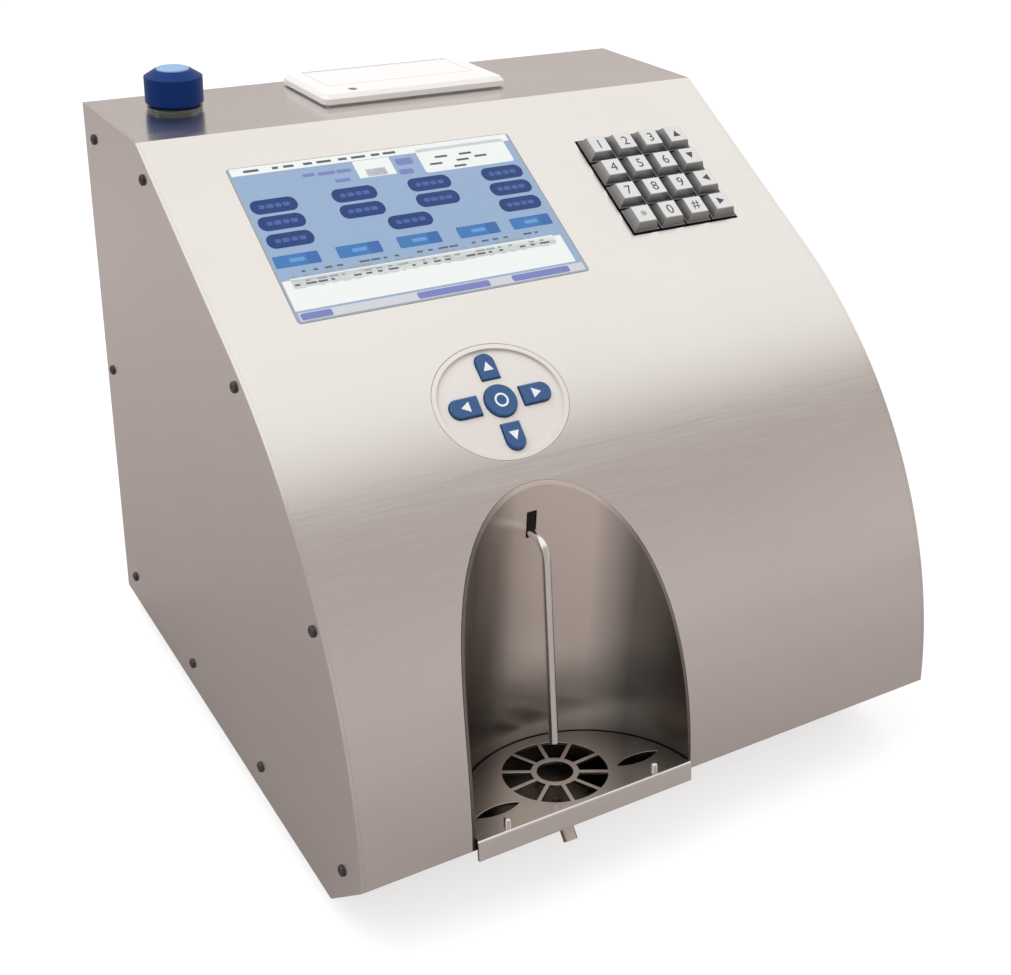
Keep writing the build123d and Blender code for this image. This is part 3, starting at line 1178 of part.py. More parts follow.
def pump_motor():
    """Geared motor behind the pump"""
    start = CELL_FRONT + PUMP_LENGTH
    motor = rod((PUMP_X, start, PUMP_Z), (0, 1, 0), MOTOR_RADIUS, MOTOR_LENGTH)
    motor += rod((PUMP_X, start + MOTOR_LENGTH, PUMP_Z), (0, 1, 0), MOTOR_CAP_RADIUS, MOTOR_CAP_LENGTH)
    return motor - rod((PUMP_X, start, PUMP_Z), (0, 1, 0), ROTOR_SHAFT_RADIUS + SHAFT_FIT, ROTOR_SHAFT_LENGTH)


def main_board():
    """Control board on four posts, with its larger parts"""
    left = -INNER_HALF + BOARD_SIDE_GAP
    front = DEPTH - BOARD_REAR_GAP - BOARD_DEPTH
    low = BASE_SHEET + BOARD_LIFT
    top = low + BOARD_THICKNESS
    board = block((left, left + BOARD_WIDTH), (front, front + BOARD_DEPTH), (low, top))
    for x in (left + BOARD_POST_INSET, left + BOARD_WIDTH - BOARD_POST_INSET):
        for y in (front + BOARD_POST_INSET, front + BOARD_DEPTH - BOARD_POST_INSET):
            board += rod((x, y, BASE_SHEET), (0, 0, 1), BOARD_POST_RADIUS, BOARD_LIFT)
    for across_share, back_share, wide, deep, tall in BOARD_PART_SHARES:
        x, y = left + BOARD_WIDTH * across_share, front + BOARD_DEPTH * back_share
        half_x, half_y = BOARD_WIDTH * wide / 2, BOARD_DEPTH * deep / 2
        board += block((x - half_x, x + half_x), (y - half_y, y + half_y), (top, top + BOARD_TALLEST * tall))
    return board


def power_supply():
    """Boxed power supply with two fixing tabs"""
    right = INNER_HALF - SUPPLY_SIDE_GAP
    back = DEPTH - SUPPLY_REAR_GAP
    xs, ys = (right - SUPPLY_WIDTH, right), (back - SUPPLY_DEPTH, back)
    box = block(xs, ys, (BASE_SHEET, BASE_SHEET + SUPPLY_HEIGHT))
    box = chamfer(box.edges().group_by(Axis.Z)[-1], SUPPLY_EDGE)
    return box + block(xs, (ys[0] - SUPPLY_TAB, ys[1] + SUPPLY_TAB), (BASE_SHEET, BASE_SHEET + SHELF_SHEET))


def build():
    """Every node of the analyzer by name"""
    parts = {"front_cover": front_cover(), "left_side_panel": side_panel(-1),
             "right_side_panel": side_panel(1), "base_plate": base_plate(), "rear_panel": rear_panel(),
             "niche_liner": niche_liner(), "housing_screws": housing_screws(), "rubber_feet": rubber_feet(),
             "drip_pan": drip_pan(), "drip_grid": drip_grid(), "grid_studs": grid_studs(),
             "sample_tube": sample_tube(), "tube_grommet": tube_grommet(), "display_lens": display_lens(),
             "display_module": display_module(), "display_bracket": display_bracket(),
             "keypad_base": keypad_base(), "nav_pad_plate": nav_pad_plate(), "nav_board": nav_board(),
             "printer_body": printer_body(), "printer_lid": printer_lid(),
             "lid_pin": lid_shaft(LID_PIN_RADIUS), "paper_roll": paper_roll(),
             "platen_roller": platen_roller(), "port_bottle": port_bottle(), "cap_liner": cap_liner(),
             "screw_cap": screw_cap(),
             "power_inlet": power_inlet(), "switch_rocker": switch_rocker(), "data_ports": data_ports(),
             "hose_barbs": hose_barbs(), "sample_hoses": sample_hoses(), "measuring_cell": measuring_cell(),
             "cell_bracket": cell_bracket(), "pump_body": pump_body(), "pump_rotor": pump_rotor(),
             "pump_motor": pump_motor(), "main_board": main_board(), "power_supply": power_supply()}
    for column, row, x, down in key_places():
        parts[f"key_{row + 1}_{column + 1}"] = key(x, down)
    parts.update(nav_buttons())
    return parts


os.makedirs("parts", exist_ok=True)
for node, shape in build().items():
    solids = shape if isinstance(shape, list) else [shape]
    placed = [PLACE * solid for solid in solids]
    export_step(placed[0] if len(placed) == 1 else Compound(placed), f"parts/{node}.step")
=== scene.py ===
import json
import math

import bmesh
import bpy
from mathutils import Matrix, Vector
from mathutils.bvhtree import BVHTree

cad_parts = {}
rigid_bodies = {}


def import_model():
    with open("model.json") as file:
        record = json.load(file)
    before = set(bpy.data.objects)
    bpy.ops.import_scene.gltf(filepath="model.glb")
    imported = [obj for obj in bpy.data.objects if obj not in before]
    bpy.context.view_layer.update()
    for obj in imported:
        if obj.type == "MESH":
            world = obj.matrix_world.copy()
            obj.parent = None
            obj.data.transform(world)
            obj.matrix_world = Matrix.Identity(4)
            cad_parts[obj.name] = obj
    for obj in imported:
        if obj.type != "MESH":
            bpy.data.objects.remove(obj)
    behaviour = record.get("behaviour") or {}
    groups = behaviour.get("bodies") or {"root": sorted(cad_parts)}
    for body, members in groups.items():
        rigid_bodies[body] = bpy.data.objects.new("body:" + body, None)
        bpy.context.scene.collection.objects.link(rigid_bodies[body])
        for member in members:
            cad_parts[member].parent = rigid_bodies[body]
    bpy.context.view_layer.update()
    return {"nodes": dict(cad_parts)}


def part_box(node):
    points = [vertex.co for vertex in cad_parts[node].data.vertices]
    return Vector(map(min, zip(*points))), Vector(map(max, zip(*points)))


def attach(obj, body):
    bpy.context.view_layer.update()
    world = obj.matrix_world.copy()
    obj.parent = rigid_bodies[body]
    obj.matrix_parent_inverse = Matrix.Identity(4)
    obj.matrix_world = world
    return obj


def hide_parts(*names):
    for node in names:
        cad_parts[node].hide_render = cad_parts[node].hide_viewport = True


# The looks of a benchtop milk analyzer: brushed stainless sheets, a colour screen, a metal keypad, an
# oval pad with blue buttons, a white printer and a blue screw cap. Metres and radians, in the CAD frame.

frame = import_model()
nodes = frame["nodes"]

# Camera, solved from the photograph's edges
CAMERA_PLACE = (-0.318662, -0.514521, 0.436970)
CAMERA_AZIMUTH = math.radians(-29.418)
CAMERA_ELEVATION = math.radians(26.945)
CAMERA_ROLL = math.radians(1.178)
CAMERA_SENSOR = 36.0
CAMERA_LENS = 50.759
CAMERA_SHIFT = (0.06240, -0.05205)

# Directions of the slanted panel and the oval pad
SLANT = math.radians(30.3)
PAD_LEAN = math.radians(90 - 48.9)

# Studio
FLOOR_SIZE = 9.0
LAMP_AIM = Vector((0, 0, 0.15))
KEY_LAMP = {"place": (-0.75, 0.15, 1.65), "size": 1.5, "power": 13.0}
FILL_LAMP = {"place": (1.2, -1.5, 1.3), "size": 1.6, "power": 7.0}

# Ink heights over the surface that carries it
FILM = 0.00003
LAYER = 0.00002

# Patterns: the range that most noise falls in, and the shares of fine grain and broad clouds in a colour
NOISE_RANGE = (0.3, 0.7)
NOISE_ROUGHNESS = 0.6
CLOUD_SCALE = 14.0
CLOUD_DETAIL = 2.0
GRAIN_SHARE = 0.6
CLOUD_SHARE = 0.4
BEVEL_SAMPLES = 6
BRUSH_STRETCH = 0.025
EVEN = (1, 1, 1)


# Materials

FINISHES = {}


def new_shader(name):
    """A node material with its tree and its principled shader"""
    material = bpy.data.materials.new(name)
    material.use_nodes = True
    return material, material.node_tree, material.node_tree.nodes["Principled BSDF"]


def add_node(tree, kind, values=None, **settings):
    """A node of a kind with its settings and the values of its inputs"""
    node = tree.nodes.new("ShaderNode" + kind)
    for key, value in settings.items():
        setattr(node, key, value)
    for key, value in (values or {}).items():
        node.inputs[key].default_value = value
    return node


def shade(colour, share):
    """A colour made lighter or darker by a share"""
    return tuple(min(1.0, channel * (1 + share)) for channel in colour) + (1.0,)


def noise(tree, stretch, scale, detail=3.0):
    """Noise over the object's own coordinates, drawn out along an axis by stretch"""
    place = add_node(tree, "TexCoord")
    turn = add_node(tree, "Mapping", {"Scale": stretch})
    pattern = add_node(tree, "TexNoise", {"Scale": scale, "Detail": detail, "Roughness": NOISE_ROUGHNESS})
    tree.links.new(place.outputs["Object"], turn.inputs["Vector"])
    tree.links.new(turn.outputs["Vector"], pattern.inputs["Vector"])
    return pattern.outputs["Fac"]


def drawn_out(tree, source, reach, low=0.0, high=1.0, **settings):
    """A value's reach, two numbers, drawn out to low and high"""
    values = {"From Min": reach[0], "From Max": reach[1], "To Min": low, "To Max": high}
    span = add_node(tree, "MapRange", values, **settings)
    tree.links.new(source, span.inputs["Value"])
    return span.outputs["Result"]


def spread(tree, source, low, high):
    """A pattern's usual range drawn out to low and high"""
    return drawn_out(tree, source, NOISE_RANGE, low, high)


def tint(tree, source, dark, light):
    """A colour between dark and light by a pattern"""
    mix = add_node(tree, "Mix", data_type="RGBA")
    mix.inputs["A"].default_value, mix.inputs["B"].default_value = dark, light
    tree.links.new(source, mix.inputs["Factor"])
    return mix.outputs["Result"]


def product(tree, first, second):
    """Two colours multiplied"""
    mix = add_node(tree, "Mix", data_type="RGBA", blend_type="MULTIPLY")
    mix.inputs["Factor"].default_value = 1.0
    tree.links.new(first, mix.inputs["A"])
    tree.links.new(second, mix.inputs["B"])
    return mix.outputs["Result"]


def ramp_colour(tree, source, low, high, stops):
    """A colour by where a value falls between low and high, through stops of a value and a colour"""
    ramp = add_node(tree, "ValToRGB")
    steps = ramp.color_ramp.elements
    placed = [((value - low) / (high - low), (*colour, 1)) for value, colour in stops]
    for element, (place, colour) in zip(steps, (placed[0], placed[-1])):
        element.position, element.color = place, colour
    for place, colour in placed[1:-1]:
        steps.new(place).color = colour
    tree.links.new(drawn_out(tree, source, (low, high)), ramp.inputs["Fac"])
    return ramp.outputs["Color"]


def graded(tree, colour, way, stops):
    """Painted shade: a colour made darker along a direction of the object, by shares at distances along it
    """
    place = add_node(tree, "TexCoord")
    reach = add_node(tree, "VectorMath", {1: way}, operation="DOT_PRODUCT")
    tree.links.new(place.outputs["Object"], reach.inputs[0])
    greys = [(distance, (share, share, share)) for distance, share in stops]
    shares = ramp_colour(tree, reach.outputs["Value"], stops[0][0], stops[-1][0], greys)
    return product(tree, colour, shares)


def relief(tree, shader, source, strength, depth, rounding):
    """Fine bump from a pattern, over edges rounded by shading"""
    bump = add_node(tree, "Bump", {"Strength": strength, "Distance": depth})
    tree.links.new(source, bump.inputs["Height"])
    if rounding:
        bevel = add_node(tree, "Bevel", {"Radius": rounding}, samples=BEVEL_SAMPLES)
        tree.links.new(bevel.outputs["Normal"], bump.inputs["Normal"])
    tree.links.new(bump.outputs["Normal"], shader.inputs["Normal"])


def finish(name, colour, roughness, stretch=EVEN, scale=900.0, variation=0.05, gloss=0.05,
           bump=0.25, depth=0.00004, rounding=0.0002, tangent=None, grades=(), **values):
    """Adds a procedural finish: fine grain in colour, gloss and relief, over broad faint clouds, with
    painted shade from any shade grades
    """
    material, tree, shader = new_shader(name)
    grain = noise(tree, stretch, scale)
    clouds = noise(tree, EVEN, CLOUD_SCALE, CLOUD_DETAIL)
    mixed = add_node(tree, "Math", operation="ADD")
    tree.links.new(spread(tree, grain, 0.0, GRAIN_SHARE), mixed.inputs[0])
    tree.links.new(spread(tree, clouds, 0.0, CLOUD_SHARE), mixed.inputs[1])
    paint = tint(tree, mixed.outputs[0], shade(colour, -variation), shade(colour, variation))
    # Each grade paints shade along a direction
    for way, stops in grades:
        paint = graded(tree, paint, way, stops)
    tree.links.new(paint, shader.inputs["Base Color"])
    tree.links.new(spread(tree, grain, roughness - gloss, roughness + gloss), shader.inputs["Roughness"])
    relief(tree, shader, grain, bump, depth, rounding)
    if tangent:
        around = add_node(tree, "Tangent", direction_type="RADIAL", axis=tangent)
        tree.links.new(around.outputs["Tangent"], shader.inputs["Tangent"])
    for key, value in values.items():
        shader.inputs[key.replace("_", " ")].default_value = value
    FINISHES[name] = material


def steel(name, colour, along, roughness=0.20, **values):
    """Adds brushed stainless sheet with its grain along an axis"""
    stretch = tuple(BRUSH_STRETCH if axis == along else 1.0 for axis in "XYZ")
    finish(name, colour, roughness, stretch=stretch, scale=1500.0, variation=0.03, gloss=0.04,
           bump=0.05, depth=0.00003, tangent=along, Metallic=1.0, Anisotropic=0.65, **values)


SCREEN_SCALE = 2600.0
SCREEN_DARK = (0.93, 0.93, 0.93, 1)
SCREEN_ROUGHNESS = (0.22, 0.30)
SCREEN_GLOW = 0.22
SCREEN_SPECULAR = 0.35


def screen_ink():
    """The lit screen: each face's own colour with fine grain and a soft glow"""
    material, tree, shader = new_shader("screen_ink")
    colour = add_node(tree, "Attribute", attribute_name="ink")
    grain = noise(tree, EVEN, SCREEN_SCALE)
    paint = product(tree, colour.outputs["Color"], tint(tree, grain, SCREEN_DARK, (1, 1, 1, 1)))
    tree.links.new(paint, shader.inputs["Base Color"])
    tree.links.new(paint, shader.inputs["Emission Color"])
    tree.links.new(spread(tree, grain, *SCREEN_ROUGHNESS), shader.inputs["Roughness"])
    shader.inputs["Emission Strength"].default_value = SCREEN_GLOW
    shader.inputs["Specular IOR Level"].default_value = SCREEN_SPECULAR
    return material


STEEL = (0.80, 0.765, 0.735)

# Painted shading, in place of the dark room that the photographed steel mirrors: distances or places, and
# the share of the colour left there. The niche's shares were worked out by comparing the brightness of
# photograph and render at places across it, and then rounded.
KEY_STEPS = ((-0.0042, 0.34), (-0.0004, 0.64), (-0.0002, 1.0))
LIP_STEPS = ((0.0015, 1.0), (0.0030, 0.86), (0.054, 0.76))
SPIGOT_STEPS = ((0.0220, 1.0), (0.0236, 0.16), (0.060, 0.12))
NICHE_SIDES = ((-0.60, 0.30), (-0.45, 0.48), (-0.35, 0.64), (-0.26, 0.85), (-0.14, 1.06), (0.50, 1.06),
               (0.58, 0.85), (0.65, 0.68), (0.71, 0.50), (0.77, 0.34), (0.90, 0.40), (1.0, 0.28))
NICHE_HEIGHTS = ((0.030, 0.24), (0.040, 0.38), (0.047, 0.58), (0.056, 0.84), (0.070, 1.0), (0.110, 1.0))


def shade_across_node(node, shares):
    """Painted shade by shares given across a node's half width, as a grade along x"""
    low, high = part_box(node)
    middle, half = (low.x + high.x) / 2, (high.x - low.x) / 2
    return (1, 0, 0), tuple((middle + place * half, share) for place, share in shares)


def key_shade_grade():
    """Painted shade out of the panel that darkens the keys' sides and leaves their tops bright"""
    way = (0, -math.sin(SLANT), math.cos(SLANT))
    top = max(Vector(way).dot(vertex.co) for vertex in nodes["key_1_1"].data.vertices)
    return way, tuple((top + step, share) for step, share in KEY_STEPS)


def lip_shade_grade():
    """Painted shade to the back that darkens the grid behind its bright lip"""
    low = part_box("drip_grid")[0].y
    return (0, 1, 0), tuple((low + step, share) for step, share in LIP_STEPS)


def shade_upwards(stops):
    """Painted shade up the object, from shares at heights"""
    return (0, 0, 1), stops


steel("cover_steel", STEEL, "X", rounding=0.0003)
steel("side_steel", STEEL, "Y", rounding=0.0003)
# Niche: painted shade, darker towards both sides and towards the bottom
steel("niche_steel", (0.82, 0.755, 0.70), "Z", roughness=0.34, rounding=0.0002,
      grades=(shade_across_node("niche_liner", NICHE_SIDES), shade_upwards(NICHE_HEIGHTS)))
# Grid: painted shade behind its bright lip
steel("grid_steel", (0.90, 0.88, 0.85), "X", rounding=0.0003, grades=(lip_shade_grade(),))
# Pan: painted shade, dark above the height of its spigot
steel("pan_steel", (0.80, 0.74, 0.64), "X", roughness=0.30, grades=(shade_upwards(SPIGOT_STEPS),))
steel("base_steel", (0.72, 0.69, 0.66), "X", rounding=0.0004)
finish("bright_steel", (0.86, 0.84, 0.82), 0.16, scale=1200.0, variation=0.03, gloss=0.04,
       bump=0.12, depth=0.00002, Metallic=1.0)
finish("dark_screw", (0.085, 0.080, 0.078), 0.36, scale=1800.0, variation=0.2, gloss=0.1,
       Metallic=0.7, rounding=0.00015)
finish("rubber", (0.014, 0.013, 0.013), 0.68, scale=1600.0, variation=0.15, gloss=0.1,
       bump=0.5, depth=0.00008, rounding=0.0004, Specular_IOR_Level=0.2)
finish("black_plastic", (0.020, 0.020, 0.022), 0.42, scale=2200.0, variation=0.12,
       gloss=0.08, bump=0.35, rounding=0.0004)
finish("switch_black", (0.012, 0.012, 0.014), 0.28, scale=2600.0, variation=0.12,
       gloss=0.06, rounding=0.0005)
finish("inner_sheet", (0.60, 0.61, 0.62), 0.40, scale=140.0, variation=0.12, gloss=0.1,
       Metallic=1.0, rounding=0.0003)
# Keys: painted shade on their sides, below their bright tops
finish("key_metal", (0.76, 0.765, 0.765), 0.34, scale=1900.0, variation=0.07, gloss=0.08,
       bump=0.2, Metallic=1.0, rounding=0.00035, grades=(key_shade_grade(),))
finish("pad_beige", (0.74, 0.715, 0.69), 0.46, scale=1700.0, variation=0.03, gloss=0.06,
       bump=0.3, rounding=0.0005)
finish("button_blue", (0.010, 0.078, 0.23), 0.30, scale=1900.0, variation=0.10, gloss=0.07,
       rounding=0.0003, Coat_Weight=0.3, Coat_Roughness=0.15)
finish("circuit_green", (0.02, 0.16, 0.07), 0.42, scale=260.0, variation=0.35, gloss=0.1)
finish("printer_white", (0.86, 0.855, 0.85), 0.44, scale=2100.0, variation=0.02,
       gloss=0.06, bump=0.3, rounding=0.0006)
finish("paper", (0.90, 0.89, 0.86), 0.78, scale=700.0, variation=0.03, gloss=0.08, bump=0.4)
# Clear plastic of the port bottle: its own greenish tint, darkened as painted shade under the cap
finish("clear_plastic", (0.58, 0.65, 0.62), 0.14, scale=500.0, variation=0.03,
       gloss=0.05, Transmission_Weight=0.88, IOR=1.49, rounding=0.0003)
finish("cap_blue", (0.003, 0.032, 0.170), 0.34, scale=1500.0, variation=0.10, gloss=0.07,
       rounding=0.0006, Specular_IOR_Level=0.15)
# Pale blue of the cap's top disc: a painted highlight
finish("insert_blue", (0.27, 0.44, 0.68), 0.40, scale=1700.0, variation=0.08, gloss=0.08,
       rounding=0.0003, Specular_IOR_Level=0.3)
finish("liner_white", (0.80, 0.80, 0.78), 0.50, scale=900.0, variation=0.03)
finish("nickel", (0.70, 0.69, 0.66), 0.26, scale=1500.0, variation=0.06, gloss=0.08,
       Metallic=1.0, rounding=0.0003)
finish("silicone", (0.80, 0.79, 0.75), 0.36, scale=800.0, variation=0.05,
       Transmission_Weight=0.35, IOR=1.41)
finish("cell_metal", (0.74, 0.75, 0.76), 0.30, scale=1100.0, variation=0.06, gloss=0.08,
       Metallic=1.0, rounding=0.0004)
finish("pump_grey", (0.30, 0.31, 0.33), 0.46, scale=1500.0, variation=0.08, rounding=0.0005)
finish("lens_glass", (0.30, 0.37, 0.44), 0.20, scale=1200.0, variation=0.03, gloss=0.03,
       bump=0.05, rounding=0.0003, Coat_Weight=0.4, Coat_Roughness=0.08)
finish("lamp_grey", (0.10, 0.10, 0.10), 0.25, scale=2600.0, variation=0.15, gloss=0.06,
       Coat_Weight=0.3, Coat_Roughness=0.1)
finish("legend_ink", (0.050, 0.050, 0.055), 0.50, scale=2600.0, variation=0.2)
finish("mark_white", (0.80, 0.84, 0.88), 0.42, scale=2600.0, variation=0.05)

NODE_FINISHES = {
    "front_cover": "cover_steel", "left_side_panel": "side_steel", "right_side_panel": "side_steel",
    "rear_panel": "cover_steel", "base_plate": "base_steel", "niche_liner": "niche_steel",
    "drip_pan": "pan_steel", "drip_grid": "grid_steel", "grid_studs": "bright_steel",
    "sample_tube": "bright_steel", "lid_pin": "bright_steel", "tube_grommet": "rubber",
    "rubber_feet": "rubber", "platen_roller": "rubber", "housing_screws": "dark_screw",
    "display_lens": "lens_glass", "display_module": "black_plastic", "display_bracket": "inner_sheet",
    "cell_bracket": "inner_sheet", "power_supply": "inner_sheet", "keypad_base": "black_plastic",
    "nav_pad_plate": "pad_beige", "nav_board": "circuit_green", "main_board": "circuit_green",
    "printer_body": "printer_white", "printer_lid": "printer_white", "paper_roll": "paper",
    "port_bottle": "clear_plastic", "screw_cap": "cap_blue", "cap_liner": "liner_white",
    "power_inlet": "black_plastic", "switch_rocker": "switch_black", "data_ports": "nickel",
    "hose_barbs": "nickel", "sample_hoses": "silicone", "measuring_cell": "cell_metal",
    "pump_body": "pump_grey", "pump_rotor": "liner_white", "pump_motor": "black_plastic",
}


def finish_of(node):
    """The finish of a CAD node by its name"""
    if node.startswith("key_"):
        return FINISHES["key_metal"]
    if node.startswith("nav_button_"):
        return FINISHES["button_blue"]
    return FINISHES[NODE_FINISHES[node]]


for name, item in nodes.items():
    for place in item.material_slots:
        place.material = finish_of(name)


# Places

def leaning(lean):
    """Turn that carries the flat x, y and z onto x, up a slope and out of it"""
    return Matrix.Rotation(lean, 4, "X")


def face_place(node, lean):
    """Place of a node's outermost face along a sloping normal, at the middle of the node"""
    turn = leaning(lean)
    points = [turn.inverted() @ vertex.co for vertex in nodes[node].data.vertices]
    low = [min(point[axis] for point in points) for axis in range(3)]
    high = [max(point[axis] for point in points) for axis in range(3)]
    return turn @ Matrix.Translation(((low[0] + high[0]) / 2, (low[1] + high[1]) / 2, high[2]))


def body_of(node):
    """Body that a CAD node rides on"""
    return nodes[node].parent.name.removeprefix("body:")


def struck_place(node, start, way, up):
    """Place where a ray meets a node, with z out of its surface and y up it"""
    mesh = nodes[node].data
    tree = BVHTree.FromPolygons([vertex.co for vertex in mesh.vertices],
                                [tuple(face.vertices) for face in mesh.polygons])
    point, out, _, _ = tree.ray_cast(Vector(start), Vector(way))
    right = Vector(up).cross(out).normalized()
    turn = Matrix((right, out.cross(right), out)).transposed()
    return Matrix.Translation(point) @ turn.to_4x4()


# Meshes

CORNER_STEPS = 6
TURNED_STEPS = 48


def new_object(name, mesh, material):
    """A linked object with one material"""
    item = bpy.data.objects.new(name, mesh)
    bpy.context.scene.collection.objects.link(item)
    item.data.materials.append(material)
    return item


def to_mesh(name, shape):
    """A mesh from a bmesh, which it frees"""
    mesh = bpy.data.meshes.new(name)
    shape.to_mesh(mesh)
    shape.free()
    return mesh


def from_bmesh(name, shape, material):
    """A linked object from a bmesh, which it frees"""
    shape.normal_update()
    return new_object(name, to_mesh(name, shape), material)


def circle(radius, steps):
    """Points round a circle"""
    turns = [2 * math.pi * step / steps for step in range(steps)]
    return [(radius * math.cos(turn), radius * math.sin(turn)) for turn in turns]


def band(shape, first, second, smooth=False):
    """Faces that join two rings of corners"""
    for step in range(len(first)):
        follow = (step + 1) % len(first)
        shape.faces.new((first[step], first[follow], second[follow], second[step])).smooth = smooth


def rounded_outline(width, height, radius):
    """Corner points of a rounded rectangle about its middle"""
    points = []
    for quarter in range(4):
        side_x = 1 if quarter in (0, 3) else -1
        side_y = 1 if quarter in (0, 1) else -1
        for step in range(CORNER_STEPS + 1):
            turn = math.pi / 2 * (quarter + step / CORNER_STEPS)
            points.append((side_x * (width / 2 - radius) + radius * math.cos(turn),
                           side_y * (height / 2 - radius) + radius * math.sin(turn)))
    return points


def text_mesh(text, size):
    """Flat mesh of a line of text about its middle"""
    curve = bpy.data.curves.new("legend", "FONT")
    curve.body, curve.size = text, size
    curve.align_x, curve.align_y = "CENTER", "CENTER"
    item = bpy.data.objects.new("legend", curve)
    mesh = bpy.data.meshes.new_from_object(item)
    bpy.data.objects.remove(item)
    low = [min(vertex.co[axis] for vertex in mesh.vertices) for axis in range(2)]
    high = [max(vertex.co[axis] for vertex in mesh.vertices) for axis in range(2)]
    mesh.transform(Matrix.Translation((-(low[0] + high[0]) / 2, -(low[1] + high[1]) / 2, 0)))
    return mesh


def turned_mesh(profile):
    """Round mesh from its rim to its top, where the last height is on the axis"""
    shape = bmesh.new()
    rings = [[shape.verts.new((x, y, height)) for x, y in circle(radius, TURNED_STEPS)]
             for radius, height in profile[:-1]]
    top = shape.verts.new((0, 0, profile[-1][1]))
    for low, high in zip(rings, rings[1:]):
        band(shape, low, high, True)
    for step in range(TURNED_STEPS):
        shape.faces.new((rings[-1][step], rings[-1][(step + 1) % TURNED_STEPS], top)).smooth = True
    return to_mesh("turned", shape)


def ride(item, body):
    """Makes a piece move with a body"""
    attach(item, body)
    return item


# Screen picture. Shares are of the lens, across from its left and down from its top.

SCREEN_COLOURS = {
    "back": (0.235, 0.335, 0.49), "white": (0.67, 0.71, 0.70), "pill": (0.007, 0.032, 0.150),
    "pill_light": (0.045, 0.10, 0.28), "bar": (0.036, 0.15, 0.37), "bar_light": (0.10, 0.26, 0.55),
    "bar_dark": (0.035, 0.11, 0.33), "mark": (0.08, 0.09, 0.10), "mark_soft": (0.28, 0.29, 0.30),
    "mist": (0.50, 0.51, 0.56), "violet": (0.15, 0.18, 0.41),
}
# Patches by layer, colour, middle across and down, width, height and corner as a share of the height
HEADER = (
    (0, "back", 0.5, 0.5, 0.985, 0.98), (1, "white", 0.5, 0.026, 0.985, 0.052),
    (1, "white", 0.475, 0.115, 0.13, 0.12), (1, "white", 0.805, 0.115, 0.33, 0.17, 0.1),
    (1, "mist", 0.475, 0.145, 0.07, 0.05), (1, "violet", 0.585, 0.10, 0.06, 0.045, 0.2),
    (1, "violet", 0.575, 0.17, 0.05, 0.035, 0.2),
)
TABLE = ((1, "white", 0.49, 0.835, 0.965, 0.185), (1, "white", 0.49, 0.765, 0.91, 0.06))
STATUS = (
    (2, "mist", 0.5, 0.965, 0.98, 0.05), (3, "violet", 0.065, 0.965, 0.10, 0.04, 0.3),
    (3, "violet", 0.52, 0.965, 0.25, 0.04, 0.3), (3, "violet", 0.83, 0.965, 0.21, 0.04, 0.3),
)
# Marks in the header: places across and widths, or places across and down
MENU_MARKS = ((0.075, 0.05), (0.155, 0.02), (0.20, 0.035), (0.265, 0.03), (0.32, 0.05), (0.385, 0.03),
              (0.44, 0.05), (0.50, 0.03), (0.55, 0.045))
MENU_DOWN = 0.028
MENU_HEIGHT = 0.016
TITLE_MARKS = ((0.25, 0.105, 0.04), (0.31, 0.108, 0.06), (0.37, 0.108, 0.05), (0.35, 0.17, 0.05))
TITLE_HEIGHT = 0.022
CLOCK_MARKS = ((0.72, 0.10), (0.81, 0.10), (0.69, 0.145), (0.79, 0.14), (0.77, 0.18), (0.86, 0.13))
CLOCK_SIZE = (0.045, 0.014)
ROUND = 0.3
# Round buttons: places across, each with its places down, and the marks out of their middles
PILL_COLUMNS = ((0.095, (0.27, 0.38, 0.495)), (0.365, (0.27, 0.38)), (0.63, (0.27, 0.38)),
                (0.90, (0.27, 0.38, 0.495)), (0.50, (0.495,)))
PILL_SIZE = (0.152, 0.092, 0.45)
PILL_MARKS = ((-0.040, 0.018), (-0.014, 0.024), (0.014, 0.020), (0.040, 0.022))
PILL_MARK_HEIGHT = 0.026
# Bars: layer, colour, place out of the bar's middle, width, height and corner
BAR_MIDDLES = (0.085, 0.29, 0.495, 0.705, 0.90)
BAR_DOWN = 0.625
BAR_PATCHES = ((2, "bar", 0, 0.147, 0.075, 0.12), (3, "bar_dark", 0.052, 0.040, 0.070, 0.12),
               (4, "bar_light", 0, 0.050, 0.024, ROUND))
# Marks in the table: place down, first width and colour of each row. Every fifth place stays empty.
MARK_ROWS = ((0.700, 0, "mark"), (0.722, 3, "mark_soft"), (0.757, 5, "mark_soft"), (0.776, 1, "mark"),
             (0.795, 4, "mist"))
MARK_WIDTHS = (0.030, 0.016, 0.024, 0.012, 0.034, 0.020, 0.014)
MARK_HEIGHT = 0.011
MARK_START = 0.045
MARK_PITCH = 0.0385
MARK_COUNT = 23
MARK_STRIDE = 3
MARK_BREAK = 5
# Least corner radius of a patch, and the thickness of the lens
LEAST_CORNER = 0.00002
LENS_THICKNESS = 0.002


class Picture:
    """Flat coloured shapes laid over each other on the screen"""

    def __init__(self, width, height):
        self.width, self.height = width, height
        self.shape = bmesh.new()
        self.ink = self.shape.loops.layers.float_color.new("ink")

    def patch(self, layer, colour, across, down, wide, tall, corner=0.0):
        """A rounded patch on a layer, with its middle and size in shares of the screen"""
        width, height = wide * self.width, tall * self.height
        radius = max(corner * height, LEAST_CORNER)
        x, y = (across - 0.5) * self.width, (0.5 - down) * self.height
        face = self.shape.faces.new([self.shape.verts.new((x + px, y + py, layer * LAYER))
                                     for px, py in rounded_outline(width, height, radius)])
        for loop in face.loops:
            loop[self.ink] = (*SCREEN_COLOURS[colour], 1.0)

    def patches(self, rows):
        """Patches laid in the order given"""
        for row in rows:
            self.patch(*row)


def draw_header(picture):
    """Background, header panels and their marks"""
    picture.patches(HEADER)
    for across, wide in MENU_MARKS:
        picture.patch(2, "mark", across, MENU_DOWN, wide, MENU_HEIGHT)
    for across, down, wide in TITLE_MARKS:
        picture.patch(2, "violet", across, down, wide, TITLE_HEIGHT, ROUND)
    for across, down in CLOCK_MARKS:
        picture.patch(2, "mark", across, down, *CLOCK_SIZE)


